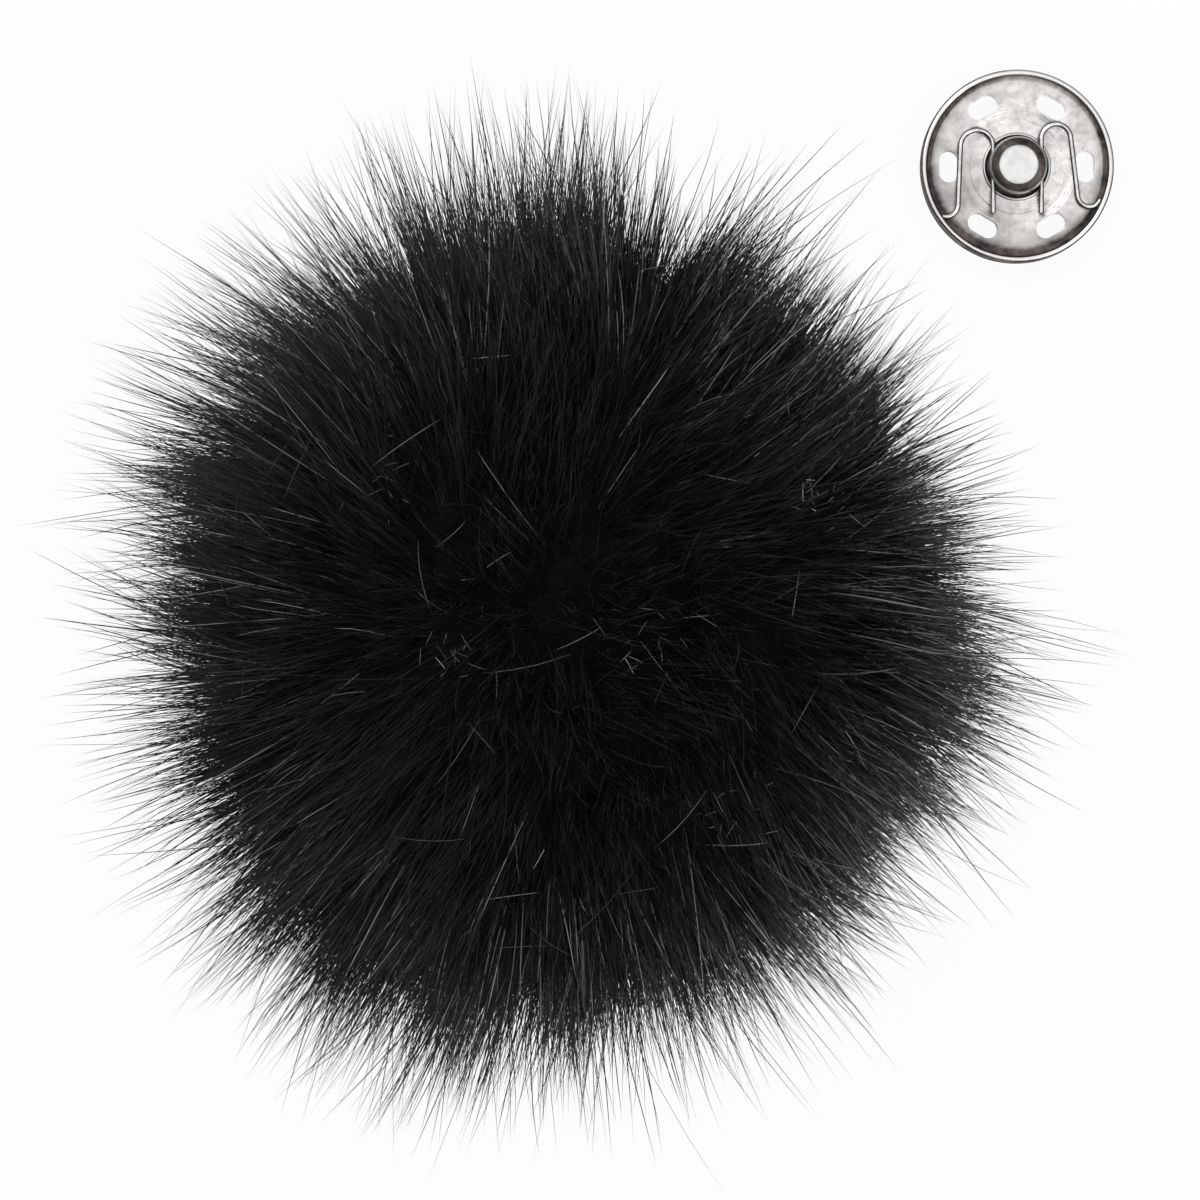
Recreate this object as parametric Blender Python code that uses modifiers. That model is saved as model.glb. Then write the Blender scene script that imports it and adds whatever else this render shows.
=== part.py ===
"""Faux-fur pompom with its sew-on snap fastener lying beside it, ready to be sewn on.

Frame: metres, +Z up, origin at the centre of the base patch's sewing face, which looks down.
The pompom stands on a table below the origin, and the closed snap lies on the same table.
"""

import math

import bmesh
import bpy
from mathutils import Matrix, Vector

MM = 0.001

# Clearances
CLOTH_GAP = 0.3 * MM
METAL_GAP = 0.1 * MM

# Pompom: fur skin gathered round a ball of filling
BACKING_RADIUS = 31.0 * MM
BACKING_THICKNESS = 1.0 * MM
BASE_FLATTENING = 3.0 * MM  # how far the ball is flattened at its base
MOUTH_RADIUS = 3.0 * MM  # what is left open when the skin is gathered
UNDERFUR_LENGTH = 11.0 * MM
GUARD_HAIR_REACH = 8.0 * MM  # how far the long hairs stand out of the underfur
FUR_PRESSED_IN = 6.0 * MM  # how far the pompom's weight presses the fur flat on the table
PARTING_FLARE = 3.5 * MM  # how much wider the parting in the fur is at the table than at the patch

# Gathering thread and its knot
GATHER_THREAD_DIAMETER = 0.8 * MM
KNOT_DIAMETER = 1.7 * MM
KNOT_FLATTENING = 0.7
KNOT_TAIL_DIAMETER = 0.5 * MM

# Base patch, thick in the middle and pressed thin where it is sewn
PATCH_RADIUS = 13.0 * MM
PATCH_HEM_WIDTH = 1.8 * MM
PATCH_HEM_THICKNESS = 1.1 * MM
PATCH_HEM_SET_BACK = 0.9 * MM  # from the sewing face up to the hem
PATCH_EDGE_ROUND = 0.3 * MM

# Whip stitches round the patch
STITCH_COUNT = 12
STITCH_THREAD_DIAMETER = 0.6 * MM
STITCH_HOLE_DIAMETER = 0.9 * MM
STITCH_HOLE_INSET = 1.0 * MM  # from the patch's edge to the hole's centre

# Snap fastener, both halves
SNAP_ASIDE = 8.3 * MM  # between the fur and the snap that lies beside it
SNAP_BEARING = 46.0  # degrees round from +X
SNAP_DIAMETER = 21.0 * MM
SHEET_THICKNESS = 0.4 * MM
SLOT_COUNT = 6
SLOT_RIM_DISTANCE = 3.05 * MM  # from the rim to the circle that the slots lie on
SLOT_WIDTH = 2.05 * MM
SLOT_LENGTH = 3.45 * MM

# Stud half
STUD_BEAD_RADIUS = 0.55 * MM
STUD_BOSS_RADIUS = 4.2 * MM
STUD_BOSS_RISE = 0.5 * MM
STUD_SHANK_RADIUS = 1.5 * MM
STUD_FLANGE_RADIUS = 3.3 * MM
STUD_FLANGE_THICKNESS = 0.35 * MM
STUD_NECK_RADIUS = 2.25 * MM
STUD_HEAD_RADIUS = 3.15 * MM
STUD_HEAD_BAND = 0.65 * MM
STUD_HEAD_FLANK = 0.6 * MM
STUD_TOP_ROUND = 0.95 * MM

# Socket half
SOCKET_HUB_WALL = 0.45 * MM
SOCKET_HUB_DEPTH = 0.7 * MM
SOCKET_STEP_RADIUS = 6.1 * MM
SOCKET_STEP_RISE = 0.3 * MM
SOCKET_DISH_WIDTH = 1.8 * MM  # from the rim to the flat floor
SOCKET_LIP_WIDTH = 0.7 * MM
SOCKET_WALL = 0.35 * MM

# Spring wires of the socket. Each has a straight leg along the stud's neck, a loop, and a hook whose
# end is tucked under the rim's lip. A bearing is in degrees round from the way the spring faces.
WIRE_DIAMETER = 0.58 * MM
LEG_TAIL = 5.05 * MM  # how far a leg's free end reaches past the middle of the stud
HOOK_RADIUS = 1.3 * MM
LEFT_LOOP_RADIUS = 1.78 * MM
LEFT_LOOP_REACH = 2.15 * MM  # from the middle of the stud along the leg to the loop's centre
LEFT_RIM_BEARING = -34.0
LEFT_HOOK_BEARING = 285.0
RIGHT_LOOP_RADIUS = 1.6 * MM
RIGHT_LOOP_REACH = 3.0 * MM
RIGHT_RIM_BEARING = -22.0
RIGHT_HOOK_BEARING = 335.0

# Mesh fineness
BALL_STEPS = 32
SNAP_STEPS = 40
STUD_STEPS = 28
THREAD_RESOLUTION = 1
WIRE_RESOLUTION = 2

# Sizes that follow from those above
UNDERFUR_RADIUS = BACKING_RADIUS + UNDERFUR_LENGTH
GUARD_HAIR_RADIUS = UNDERFUR_RADIUS + GUARD_HAIR_REACH
BASE_FLAT_DROP = BACKING_RADIUS - BASE_FLATTENING
TABLE_DROP = GUARD_HAIR_RADIUS - FUR_PRESSED_IN
PATCH_THICKNESS = PATCH_HEM_THICKNESS + PATCH_HEM_SET_BACK
BASE_FLAT_Z = PATCH_THICKNESS + CLOTH_GAP
BALL_CENTRE_Z = BASE_FLAT_Z + BASE_FLAT_DROP
TABLE_Z = BALL_CENTRE_Z - TABLE_DROP
STITCH_BEND_RADIUS = STITCH_THREAD_DIAMETER / 2 + METAL_GAP / 2
STITCH_OUTER_RADIUS = PATCH_RADIUS + STITCH_THREAD_DIAMETER / 2 + METAL_GAP
PARTING_TOP_RADIUS = STITCH_OUTER_RADIUS + STITCH_THREAD_DIAMETER / 2 + CLOTH_GAP
SNAP_RADIUS = SNAP_DIAMETER / 2
SNAP_FROM_AXIS = GUARD_HAIR_RADIUS + SNAP_ASIDE + SNAP_RADIUS
SLOT_CIRCLE_RADIUS = SNAP_RADIUS - SLOT_RIM_DISTANCE
STUD_FLOOR_TOP = STUD_BEAD_RADIUS + SHEET_THICKNESS
STUD_BOSS_TOP = STUD_FLOOR_TOP + STUD_BOSS_RISE
SOCKET_HUB_BOTTOM = STUD_BOSS_TOP + METAL_GAP
SOCKET_HUB_RADIUS = STUD_HEAD_RADIUS + 1.5 * METAL_GAP
SOCKET_FLOOR_RADIUS = SNAP_RADIUS - SOCKET_DISH_WIDTH
SOCKET_INNER_TOP = SOCKET_HUB_BOTTOM + SOCKET_HUB_DEPTH
SOCKET_FLOOR_TOP = SOCKET_INNER_TOP + SOCKET_STEP_RISE
WIRE_Z = SOCKET_FLOOR_TOP + METAL_GAP + WIRE_DIAMETER / 2
LIP_UNDERSIDE = WIRE_Z + WIRE_DIAMETER / 2 + METAL_GAP
LIP_TOP = LIP_UNDERSIDE + SOCKET_WALL
LEG_X = STUD_NECK_RADIUS + WIRE_DIAMETER / 2 + 0.8 * METAL_GAP
STUD_FLANK_Z = WIRE_Z + WIRE_DIAMETER / 2 + METAL_GAP
STUD_TOP = STUD_FLANK_Z + STUD_HEAD_FLANK + STUD_HEAD_BAND + STUD_TOP_ROUND


def clear_scene():
    for old in list(bpy.data.objects):
        bpy.data.objects.remove(old)


def new_collection(name):
    collection = bpy.data.collections.new(name)
    bpy.context.scene.collection.children.link(collection)
    return collection


def new_material(name, colour, roughness, metallic=0.0):
    material = bpy.data.materials.new(name)
    material.use_nodes = True
    surface = material.node_tree.nodes["Principled BSDF"]
    surface.inputs["Base Color"].default_value = (*colour, 1.0)
    surface.inputs["Roughness"].default_value = roughness
    surface.inputs["Metallic"].default_value = metallic
    return material


def add_object(name, data, material=None, parent=None, collection=None):
    """A new object for a mesh or a curve, at its parent's place."""
    thing = bpy.data.objects.new(name, data)
    (collection or POMPOM_SET).objects.link(thing)
    thing.parent = parent
    if material:
        data.materials.append(material)
    return thing


def on_circle(radius, bearing, centre=(0.0, 0.0)):
    angle = math.radians(bearing)
    return (centre[0] + radius * math.cos(angle), centre[1] + radius * math.sin(angle))


def arc(centre, radius, start, end, count):
    """Points on an arc between two bearings in degrees."""
    return [on_circle(radius, start + (end - start) * i / count, centre) for i in range(count + 1)]


def enclosed_area(outline):
    """The area that an outline goes round, positive where it runs anticlockwise."""
    following = outline[1:] + outline[:1]
    return sum(a[0] * b[1] - b[0] * a[1] for a, b in zip(outline, following)) / 2


def turned(name, outline, steps, material, parent=None):
    """A solid turned about Z from the outline (r, z) of its section. One that starts and ends on the
    axis is closed by it."""
    if enclosed_area(outline) > 0:
        outline = outline[::-1]
    mesh = bpy.data.meshes.new(name)
    points = [(r, 0.0, z) for r, z in outline]
    edges = [(i, i + 1) for i in range(len(points) - 1)]
    if outline[0][0] > 0:
        edges.append((len(points) - 1, 0))
    mesh.from_pydata(points, edges, [])
    thing = add_object(name, mesh, material, parent)
    screw = thing.modifiers.new("Turn", "SCREW")
    screw.steps = steps
    screw.render_steps = steps
    screw.use_merge_vertices = True
    screw.merge_threshold = 0.01 * MM
    screw.use_smooth_shade = True
    return thing


def tube(name, points, diameter, resolution, material, parent=None):
    """A round wire or thread along a list of points."""
    curve = bpy.data.curves.new(name, "CURVE")
    curve.dimensions = "3D"
    curve.bevel_depth = diameter / 2
    curve.bevel_resolution = resolution
    curve.use_fill_caps = True
    spline = curve.splines.new("POLY")
    spline.points.add(len(points) - 1)
    for spot, point in zip(spline.points, points):
        spot.co = (*point, 1.0)
    return add_object(name, curve, material, parent)


def cut(thing, cutter):
    boolean = thing.modifiers.new("Cut " + cutter.name, "BOOLEAN")
    boolean.operation = "DIFFERENCE"
    boolean.object = cutter


def as_cutter(name, mesh_builder, parent=None):
    """A hidden tool body, in the cutters' collection."""
    mesh = bpy.data.meshes.new(name)
    shape = bmesh.new()
    mesh_builder(shape)
    bmesh.ops.recalc_face_normals(shape, faces=shape.faces)
    shape.to_mesh(mesh)
    shape.free()
    cutter = add_object(name, mesh, parent=parent, collection=CUTTERS)
    cutter.hide_render = True
    cutter.display_type = "WIRE"
    return cutter


# ---------------------------------------------------------------- pompom


def ball_arc(radius, low_point, steps, downward=True):
    """The right half of a ball's section, from the top down to a point on it, or back up."""
    low_angle = math.degrees(math.atan2(low_point[1] - BALL_CENTRE_Z, low_point[0]))
    points = arc((0.0, BALL_CENTRE_Z), radius, 90.0, low_angle, steps)
    points[0] = (0.0, BALL_CENTRE_Z + radius)
    return points if downward else points[::-1]


def flat_edge(radius, drop):
    """Where a ball of that radius is cut flat, that far below its centre."""
    return (math.sqrt(radius**2 - drop**2), BALL_CENTRE_Z - drop)


def parting_radius(z):
    """The radius of the parting in the fur under the base patch, which widens downwards."""
    share = (BASE_FLAT_Z - z) / (BASE_FLAT_Z - TABLE_Z)
    return PARTING_TOP_RADIUS + PARTING_FLARE * share


def parting_meets(radius):
    """The point where the parting's cone leaves a ball of that radius."""
    low, high = TABLE_Z - radius, BALL_CENTRE_Z
    for _ in range(60):
        z = (low + high) / 2
        inside = math.hypot(parting_radius(z), z - BALL_CENTRE_Z) < radius
        low, high = (low, z) if inside else (z, high)
    return (parting_radius(low), low)


def make_filling():
    radius = BACKING_RADIUS - BACKING_THICKNESS - CLOTH_GAP
    edge = flat_edge(radius, BASE_FLAT_DROP - BACKING_THICKNESS - CLOTH_GAP)
    section = ball_arc(radius, edge, 10) + [(0.0, edge[1])]
    turned("filling", section, BALL_STEPS, FILLING_FIBRE)


def make_backing():
    """The knitted skin that the pile grows from, gathered to a small mouth at the base."""
    inner_radius = BACKING_RADIUS - BACKING_THICKNESS
    outer_edge = flat_edge(BACKING_RADIUS, BASE_FLAT_DROP)
    inner_edge = flat_edge(inner_radius, BASE_FLAT_DROP - BACKING_THICKNESS)
    mouth = [(MOUTH_RADIUS, outer_edge[1]), (MOUTH_RADIUS, inner_edge[1])]
    section = ball_arc(BACKING_RADIUS, outer_edge, 10)
    section += mouth
    section += ball_arc(inner_radius, inner_edge, 10, downward=False)
    turned("fur_backing", section, BALL_STEPS, KNIT)


def make_underfur():
    inner_radius = BACKING_RADIUS + CLOTH_GAP
    section = ball_arc(UNDERFUR_RADIUS, parting_meets(UNDERFUR_RADIUS), 11)
    section += ball_arc(inner_radius, parting_meets(inner_radius), 10, downward=False)
    turned("underfur", section, BALL_STEPS, UNDERFUR_FIBRE)


def make_guard_hair():
    """The long outer fur, pressed flat where the pompom stands on the table."""
    inner_radius = UNDERFUR_RADIUS + CLOTH_GAP
    section = ball_arc(GUARD_HAIR_RADIUS, flat_edge(GUARD_HAIR_RADIUS, TABLE_DROP), 13)
    section.append((parting_radius(TABLE_Z), TABLE_Z))
    section += ball_arc(inner_radius, parting_meets(inner_radius), 11, downward=False)
    turned("guard_hair", section, BALL_STEPS, GUARD_FIBRE)


def make_gather_thread():
    """The drawn thread, lying just inside the mouth that it holds shut."""
    bpy.ops.mesh.primitive_torus_add(
        major_radius=MOUTH_RADIUS - METAL_GAP - GATHER_THREAD_DIAMETER / 2,
        minor_radius=GATHER_THREAD_DIAMETER / 2,
        major_segments=24,
        minor_segments=8,
        location=(0.0, 0.0, BASE_FLAT_Z + BACKING_THICKNESS / 2),
    )
    adopt("gather_thread", THREAD)


def make_gather_knot():
    """An overhand knot, flattened between patch and filling, with its two cut tails."""
    room = MOUTH_RADIUS - GATHER_THREAD_DIAMETER - 2 * METAL_GAP
    knot_x = room - KNOT_DIAMETER / 2
    centre = Vector((knot_x, 0.0, BASE_FLAT_Z + BACKING_THICKNESS / 2))
    bpy.ops.mesh.primitive_uv_sphere_add(
        segments=16, ring_count=8, radius=KNOT_DIAMETER / 2, location=centre
    )
    bpy.context.object.scale = (1.0, 1.0, KNOT_FLATTENING)
    bpy.ops.object.transform_apply(location=False, rotation=False, scale=True)
    knot = adopt("gather_knot", THREAD)
    for side in (-1, 1):
        heading = Vector(on_circle(1.0, 127.0 * side)).to_3d()
        towards = heading.dot(centre.to_2d().to_3d())
        reach = room - KNOT_TAIL_DIAMETER / 2
        length = math.sqrt(towards**2 - knot_x**2 + reach**2) - towards
        tail = as_cutter("knot_tail", lambda shape: knot_tail(shape, heading, centre, length))
        join = knot.modifiers.new("Tail", "BOOLEAN")
        join.operation = "UNION"
        join.object = tail


def knot_tail(shape, heading, centre, length):
    """One tail of the knot, a short rod that runs from it to just inside the gathering thread."""
    turn = heading.to_track_quat("Z", "Y").to_matrix().to_4x4()
    bmesh.ops.create_cone(
        shape,
        cap_ends=True,
        segments=8,
        radius1=KNOT_TAIL_DIAMETER / 2,
        radius2=KNOT_TAIL_DIAMETER / 2,
        depth=length,
        matrix=Matrix.Translation(centre + heading * length / 2) @ turn,
    )


def adopt(name, material):
    """Names the primitive just added and moves it to the pompom's collection."""
    thing = bpy.context.object
    thing.name = name
    thing.data.name = name
    thing.data.materials.append(material)
    thing.data.shade_smooth()
    for collection in list(thing.users_collection):
        collection.objects.unlink(thing)
    POMPOM_SET.objects.link(thing)
    return thing


def make_base_patch():
    """A felt disc that covers the gathered mouth and takes the snap's stitches. Its middle is proud
    of the hem, so the whip stitches stay below the sewing face."""
    hem_radius = PATCH_RADIUS - PATCH_HEM_WIDTH
    hem_z = PATCH_THICKNESS - PATCH_HEM_THICKNESS
    top_corner = (PATCH_RADIUS - PATCH_EDGE_ROUND, PATCH_THICKNESS - PATCH_EDGE_ROUND)
    low_corner = (PATCH_RADIUS - PATCH_EDGE_ROUND, hem_z + PATCH_EDGE_ROUND)
    section = [(0.0, PATCH_THICKNESS)]
    section += arc(top_corner, PATCH_EDGE_ROUND, 90.0, 0.0, 2)
    section += arc(low_corner, PATCH_EDGE_ROUND, 0.0, -90.0, 2)
    section += [(hem_radius, hem_z), (hem_radius - PATCH_EDGE_ROUND, 0.0), (0.0, 0.0)]
    patch = turned("base_patch", section, 36, FELT)
    cut(patch, as_cutter("stitch_holes", stitch_holes))


def stitch_turn(index):
    return Matrix.Rotation(2 * math.pi * (index + 0.5) / STITCH_COUNT, 4, "Z")


def stitch_holes(shape):
    for index in range(STITCH_COUNT):
        spot = Vector((PATCH_RADIUS - STITCH_HOLE_INSET, 0.0, PATCH_THICKNESS / 2))
        bmesh.ops.create_cone(
            shape,
            cap_ends=True,
            segments=10,
            radius1=STITCH_HOLE_DIAMETER / 2,
            radius2=STITCH_HOLE_DIAMETER / 2,
            depth=2 * PATCH_THICKNESS,
            matrix=stitch_turn(index) @ Matrix.Translation(spot),
        )


def make_patch_stitches():
    """Whip stitches: each comes down through its hole, over the hem and up into the backing."""
    inner = PATCH_RADIUS - STITCH_HOLE_INSET
    outer = STITCH_OUTER_RADIUS
    top = PATCH_THICKNESS + CLOTH_GAP / 3
    bar = PATCH_THICKNESS - PATCH_HEM_THICKNESS - METAL_GAP - STITCH_THREAD_DIAMETER / 2
    bend = STITCH_BEND_RADIUS
    route = [(inner, top)]
    route += arc((inner + bend, bar + bend), bend, 180.0, 270.0, 3)
    route += arc((outer - bend, bar + bend), bend, 270.0, 360.0, 3)
    route += [(outer, top)]
    for index in range(STITCH_COUNT):
        points = [stitch_turn(index) @ Vector((r, 0.0, z)) for r, z in route]
        name = f"patch_stitch_{index + 1:02d}"
        tube(name, points, STITCH_THREAD_DIAMETER, THREAD_RESOLUTION, THREAD)


# ---------------------------------------------------------------- snap fastener


def rounded_slot(shape, turn, height):
    """A prism with round ends, its long side along the circle that the slots lie on."""
    straight = (SLOT_LENGTH - SLOT_WIDTH) / 2
    ends = arc((SLOT_CIRCLE_RADIUS, straight), SLOT_WIDTH / 2, 0.0, 180.0, 6)
    ends += arc((SLOT_CIRCLE_RADIUS, -straight), SLOT_WIDTH / 2, 180.0, 360.0, 6)
    low = [shape.verts.new(turn @ Vector(spot).to_3d()) for spot in ends]
    floor = shape.faces.new(low)
    grown = bmesh.ops.extrude_face_region(shape, geom=[floor])["geom"]
    high = [part for part in grown if isinstance(part, bmesh.types.BMVert)]
    bmesh.ops.translate(shape, verts=high, vec=(0.0, 0.0, height))


def sewing_slots(shape):
    for index in range(SLOT_COUNT):
        turn = Matrix.Rotation(2 * math.pi * index / SLOT_COUNT, 4, "Z")
        rounded_slot(shape, turn, 2 * LIP_TOP)
    bmesh.ops.translate(shape, verts=shape.verts, vec=(0.0, 0.0, -LIP_TOP / 2))


def make_stud_plate(centre):
    """Pressed disc with a raised boss and a rolled rim that stands on the cloth."""
    bead = STUD_BEAD_RADIUS
    under = STUD_FLOOR_TOP - SHEET_THICKNESS
    bead_centre = (SNAP_RADIUS - bead, bead)
    join_angle = math.degrees(math.asin((STUD_FLOOR_TOP - bead) / bead))
    hole = STUD_SHANK_RADIUS + METAL_GAP
    step = STUD_BOSS_RISE / 2
    section = [(hole, STUD_BOSS_TOP), (STUD_BOSS_RADIUS - step, STUD_BOSS_TOP)]
    section += [(STUD_BOSS_RADIUS + step, STUD_FLOOR_TOP)]
    section += arc(bead_centre, bead, 180.0 - join_angle, -180.0, 9)
    section += [(STUD_BOSS_RADIUS + step - SHEET_THICKNESS / 2, under)]
    boss_under = STUD_BOSS_TOP - SHEET_THICKNESS
    section += [(STUD_BOSS_RADIUS - step - SHEET_THICKNESS / 2, boss_under), (hole, boss_under)]
    plate = turned("stud_plate", section, SNAP_STEPS, STEEL, centre)
    cut(plate, as_cutter("stud_plate_slots", sewing_slots, centre))


def make_stud(centre):
    """The knob, riveted through the plate: flange, shank, neck, flared flank and rounded head."""
    flange_top = STUD_BOSS_TOP - SHEET_THICKNESS - METAL_GAP
    shoulder = STUD_BOSS_TOP + METAL_GAP
    band_low = STUD_FLANK_Z + STUD_HEAD_FLANK
    band_high = band_low + STUD_HEAD_BAND
    top_centre = (STUD_HEAD_RADIUS - STUD_TOP_ROUND, band_high)
    section = [(0.0, STUD_TOP)]
    section += arc(top_centre, STUD_TOP_ROUND, 90.0, 0.0, 5)
    section += [(STUD_HEAD_RADIUS, band_low), (STUD_NECK_RADIUS, STUD_FLANK_Z)]
    section += [(STUD_NECK_RADIUS, shoulder), (STUD_SHANK_RADIUS, shoulder)]
    section += [(STUD_SHANK_RADIUS, flange_top), (STUD_FLANGE_RADIUS, flange_top)]
    section += [(STUD_FLANGE_RADIUS, flange_top - STUD_FLANGE_THICKNESS)]
    section += [(0.0, flange_top - STUD_FLANGE_THICKNESS)]
    turned("stud", section, STUD_STEPS, STEEL, centre)


def make_socket_plate(centre):
    """Pressed disc with a hub that takes the stud, a stepped floor, and a rim whose lip is turned in
    over the ends of the spring wires."""
    outside = SNAP_RADIUS
    thick = SHEET_THICKNESS
    round_hub = SOCKET_HUB_WALL / 2
    inner, floor = SOCKET_INNER_TOP, SOCKET_FLOOR_TOP
    step = SOCKET_STEP_RISE / 2
    wall_foot = outside - SOCKET_WALL
    lip_tip = outside - SOCKET_LIP_WIDTH
    corner = (outside - SOCKET_WALL, LIP_TOP - SOCKET_WALL)
    section = [(SOCKET_HUB_RADIUS, SOCKET_HUB_BOTTOM)]
    section += arc((SOCKET_HUB_RADIUS + round_hub, inner - round_hub), round_hub, 180.0, 90.0, 3)
    section += [(SOCKET_STEP_RADIUS - step, inner), (SOCKET_STEP_RADIUS + step, floor)]
    section += [(SOCKET_FLOOR_RADIUS, floor), (wall_foot - thick / 2, floor + METAL_GAP / 2)]
    section += [(wall_foot, floor + thick), (wall_foot, LIP_UNDERSIDE), (lip_tip, LIP_UNDERSIDE)]
    section += [(lip_tip, LIP_TOP - SOCKET_WALL / 3), (lip_tip + SOCKET_WALL / 3, LIP_TOP)]
    section += arc(corner, SOCKET_WALL, 90.0, 0.0, 3)
    section += [(outside, floor), (outside - thick / 2, floor - thick / 2)]
    section += [(SOCKET_FLOOR_RADIUS, floor - thick), (SOCKET_STEP_RADIUS + step, floor - thick)]
    section += [(SOCKET_STEP_RADIUS - step, inner - thick)]
    section += [(SOCKET_HUB_RADIUS + SOCKET_HUB_WALL, inner - thick)]
    section += [(SOCKET_HUB_RADIUS + SOCKET_HUB_WALL, SOCKET_HUB_BOTTOM)]
    plate = turned("socket_plate", section, SNAP_STEPS, STEEL, centre)
    cut(plate, as_cutter("socket_plate_slots", sewing_slots, centre))


def spring_route(loop_radius, loop_reach, rim_bearing, hook_bearing):
    """The middle line of a wire on the +X side: up the leg, round the loop, down the straight that
    touches both circles, and round the hook to the end under the lip."""
    end_radius = SNAP_RADIUS - SOCKET_WALL - METAL_GAP - WIRE_DIAMETER / 2
    loop = Vector((LEG_X + loop_radius, loop_reach))
    end = Vector(on_circle(end_radius, rim_bearing))
    hook = end - Vector(on_circle(HOOK_RADIUS, hook_bearing))
    across = hook - loop
    leaves = math.atan2(across.y, across.x) + math.acos((loop_radius + HOOK_RADIUS) / across.length)
    leaves = math.degrees(leaves)
    route = [(LEG_X, -LEG_TAIL)]
    route += arc(loop, loop_radius, 180.0, leaves, 10)
    route += arc(hook, HOOK_RADIUS, 180.0 + leaves, hook_bearing, 6)
    return route


def make_springs(centre):
    """Two S-shaped wires that grip the stud's neck from both sides."""
    left = (LEFT_LOOP_RADIUS, LEFT_LOOP_REACH, LEFT_RIM_BEARING, LEFT_HOOK_BEARING)
    right = (RIGHT_LOOP_RADIUS, RIGHT_LOOP_REACH, RIGHT_RIM_BEARING, RIGHT_HOOK_BEARING)
    for name, side, shape in (("left", -1, left), ("right", 1, right)):
        points = [(side * x, y, WIRE_Z) for x, y in spring_route(*shape)]
        tube("spring_wire_" + name, points, WIRE_DIAMETER, WIRE_RESOLUTION, SPRING_STEEL, centre)


def make_snap():
    centre = add_object("snap_centre", None)
    centre.location = (*on_circle(SNAP_FROM_AXIS, SNAP_BEARING), TABLE_Z)
    make_stud_plate(centre)
    make_stud(centre)
    make_socket_plate(centre)
    make_springs(centre)


def make_pompom():
    make_filling()
    make_backing()
    make_underfur()
    make_guard_hair()
    make_gather_thread()
    make_gather_knot()
    make_base_patch()
    make_patch_stitches()


clear_scene()
POMPOM_SET = new_collection("Pompom with snap")
CUTTERS = new_collection("Cutters")
FILLING_FIBRE = new_material("filling fibre", (0.85, 0.85, 0.83), 0.95)
KNIT = new_material("knitted backing", (0.02, 0.02, 0.021), 0.9)
UNDERFUR_FIBRE = new_material("underfur", (0.006, 0.006, 0.006), 0.8)
GUARD_FIBRE = new_material("guard hair", (0.008, 0.008, 0.008), 0.5)
FELT = new_material("felt", (0.015, 0.015, 0.016), 0.95)
THREAD = new_material("thread", (0.02, 0.02, 0.02), 0.6)
STEEL = new_material("nickelled steel", (0.58, 0.55, 0.53), 0.25, 1.0)
SPRING_STEEL = new_material("spring wire", (0.7, 0.68, 0.66), 0.2, 1.0)
make_pompom()
make_snap()
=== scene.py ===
"""Faux-fur pompom with its sew-on snap fastener: every piece as it looks, and the studio round it.

Metres, +Z up, the origin at the centre of the base patch's sewing face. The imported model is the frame:
sizes and places come from its nodes, and the rest from the dimensions named below.
"""

import math

import bpy
import numpy as np
from mathutils import Matrix, Vector


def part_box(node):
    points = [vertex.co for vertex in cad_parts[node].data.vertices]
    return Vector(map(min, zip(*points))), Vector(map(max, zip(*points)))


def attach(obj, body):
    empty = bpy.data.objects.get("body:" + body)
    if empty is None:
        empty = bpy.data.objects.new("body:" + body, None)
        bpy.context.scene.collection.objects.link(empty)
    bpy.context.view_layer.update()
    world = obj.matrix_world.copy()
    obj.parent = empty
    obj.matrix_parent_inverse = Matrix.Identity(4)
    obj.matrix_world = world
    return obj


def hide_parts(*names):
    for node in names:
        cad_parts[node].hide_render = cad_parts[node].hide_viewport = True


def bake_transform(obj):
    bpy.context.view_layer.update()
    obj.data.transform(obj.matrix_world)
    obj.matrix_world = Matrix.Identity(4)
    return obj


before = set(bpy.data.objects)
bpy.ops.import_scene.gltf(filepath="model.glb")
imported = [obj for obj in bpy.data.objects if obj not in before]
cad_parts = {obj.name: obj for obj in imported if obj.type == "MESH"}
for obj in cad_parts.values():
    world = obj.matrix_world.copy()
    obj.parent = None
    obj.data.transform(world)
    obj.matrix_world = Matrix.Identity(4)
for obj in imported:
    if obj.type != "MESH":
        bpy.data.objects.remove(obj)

bpy.ops.object.select_all(action="DESELECT")

MM = 0.001
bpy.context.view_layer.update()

# -------- sizes from the frame

PATCH_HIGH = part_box("base_patch")[1]
PATCH_RADIUS = PATCH_HIGH.x
PATCH_THICKNESS = PATCH_HIGH.z
FUR_LOW, FUR_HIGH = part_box("guard_hair")
TABLE_Z = FUR_LOW.z
FUR_RADIUS = FUR_HIGH.x
BALL_CENTRE = Vector((0.0, 0.0, FUR_HIGH.z - FUR_RADIUS))
SKIN_LOW, SKIN_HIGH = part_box("fur_backing")
SKIN_RADIUS = SKIN_HIGH.z - BALL_CENTRE.z
SKIN_BASE_Z = SKIN_LOW.z
FILLING_LOW, FILLING_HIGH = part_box("filling")
FILLING_RADIUS = FILLING_HIGH.z - BALL_CENTRE.z
SOCKET_LOW, SOCKET_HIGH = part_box("socket_plate")
SNAP_CENTRE = (SOCKET_LOW + SOCKET_HIGH).to_2d() / 2
SNAP_RADIUS = (SOCKET_HIGH.x - SOCKET_LOW.x) / 2
STUD_LOW, STUD_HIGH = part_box("stud")
WIRE_LOW, WIRE_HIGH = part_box("spring_wire_left")
WIRE_DIAMETER = WIRE_HIGH.z - WIRE_LOW.z
WIRE_Z = (WIRE_LOW.z + WIRE_HIGH.z) / 2

# -------- dimensions of the pompom

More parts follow.
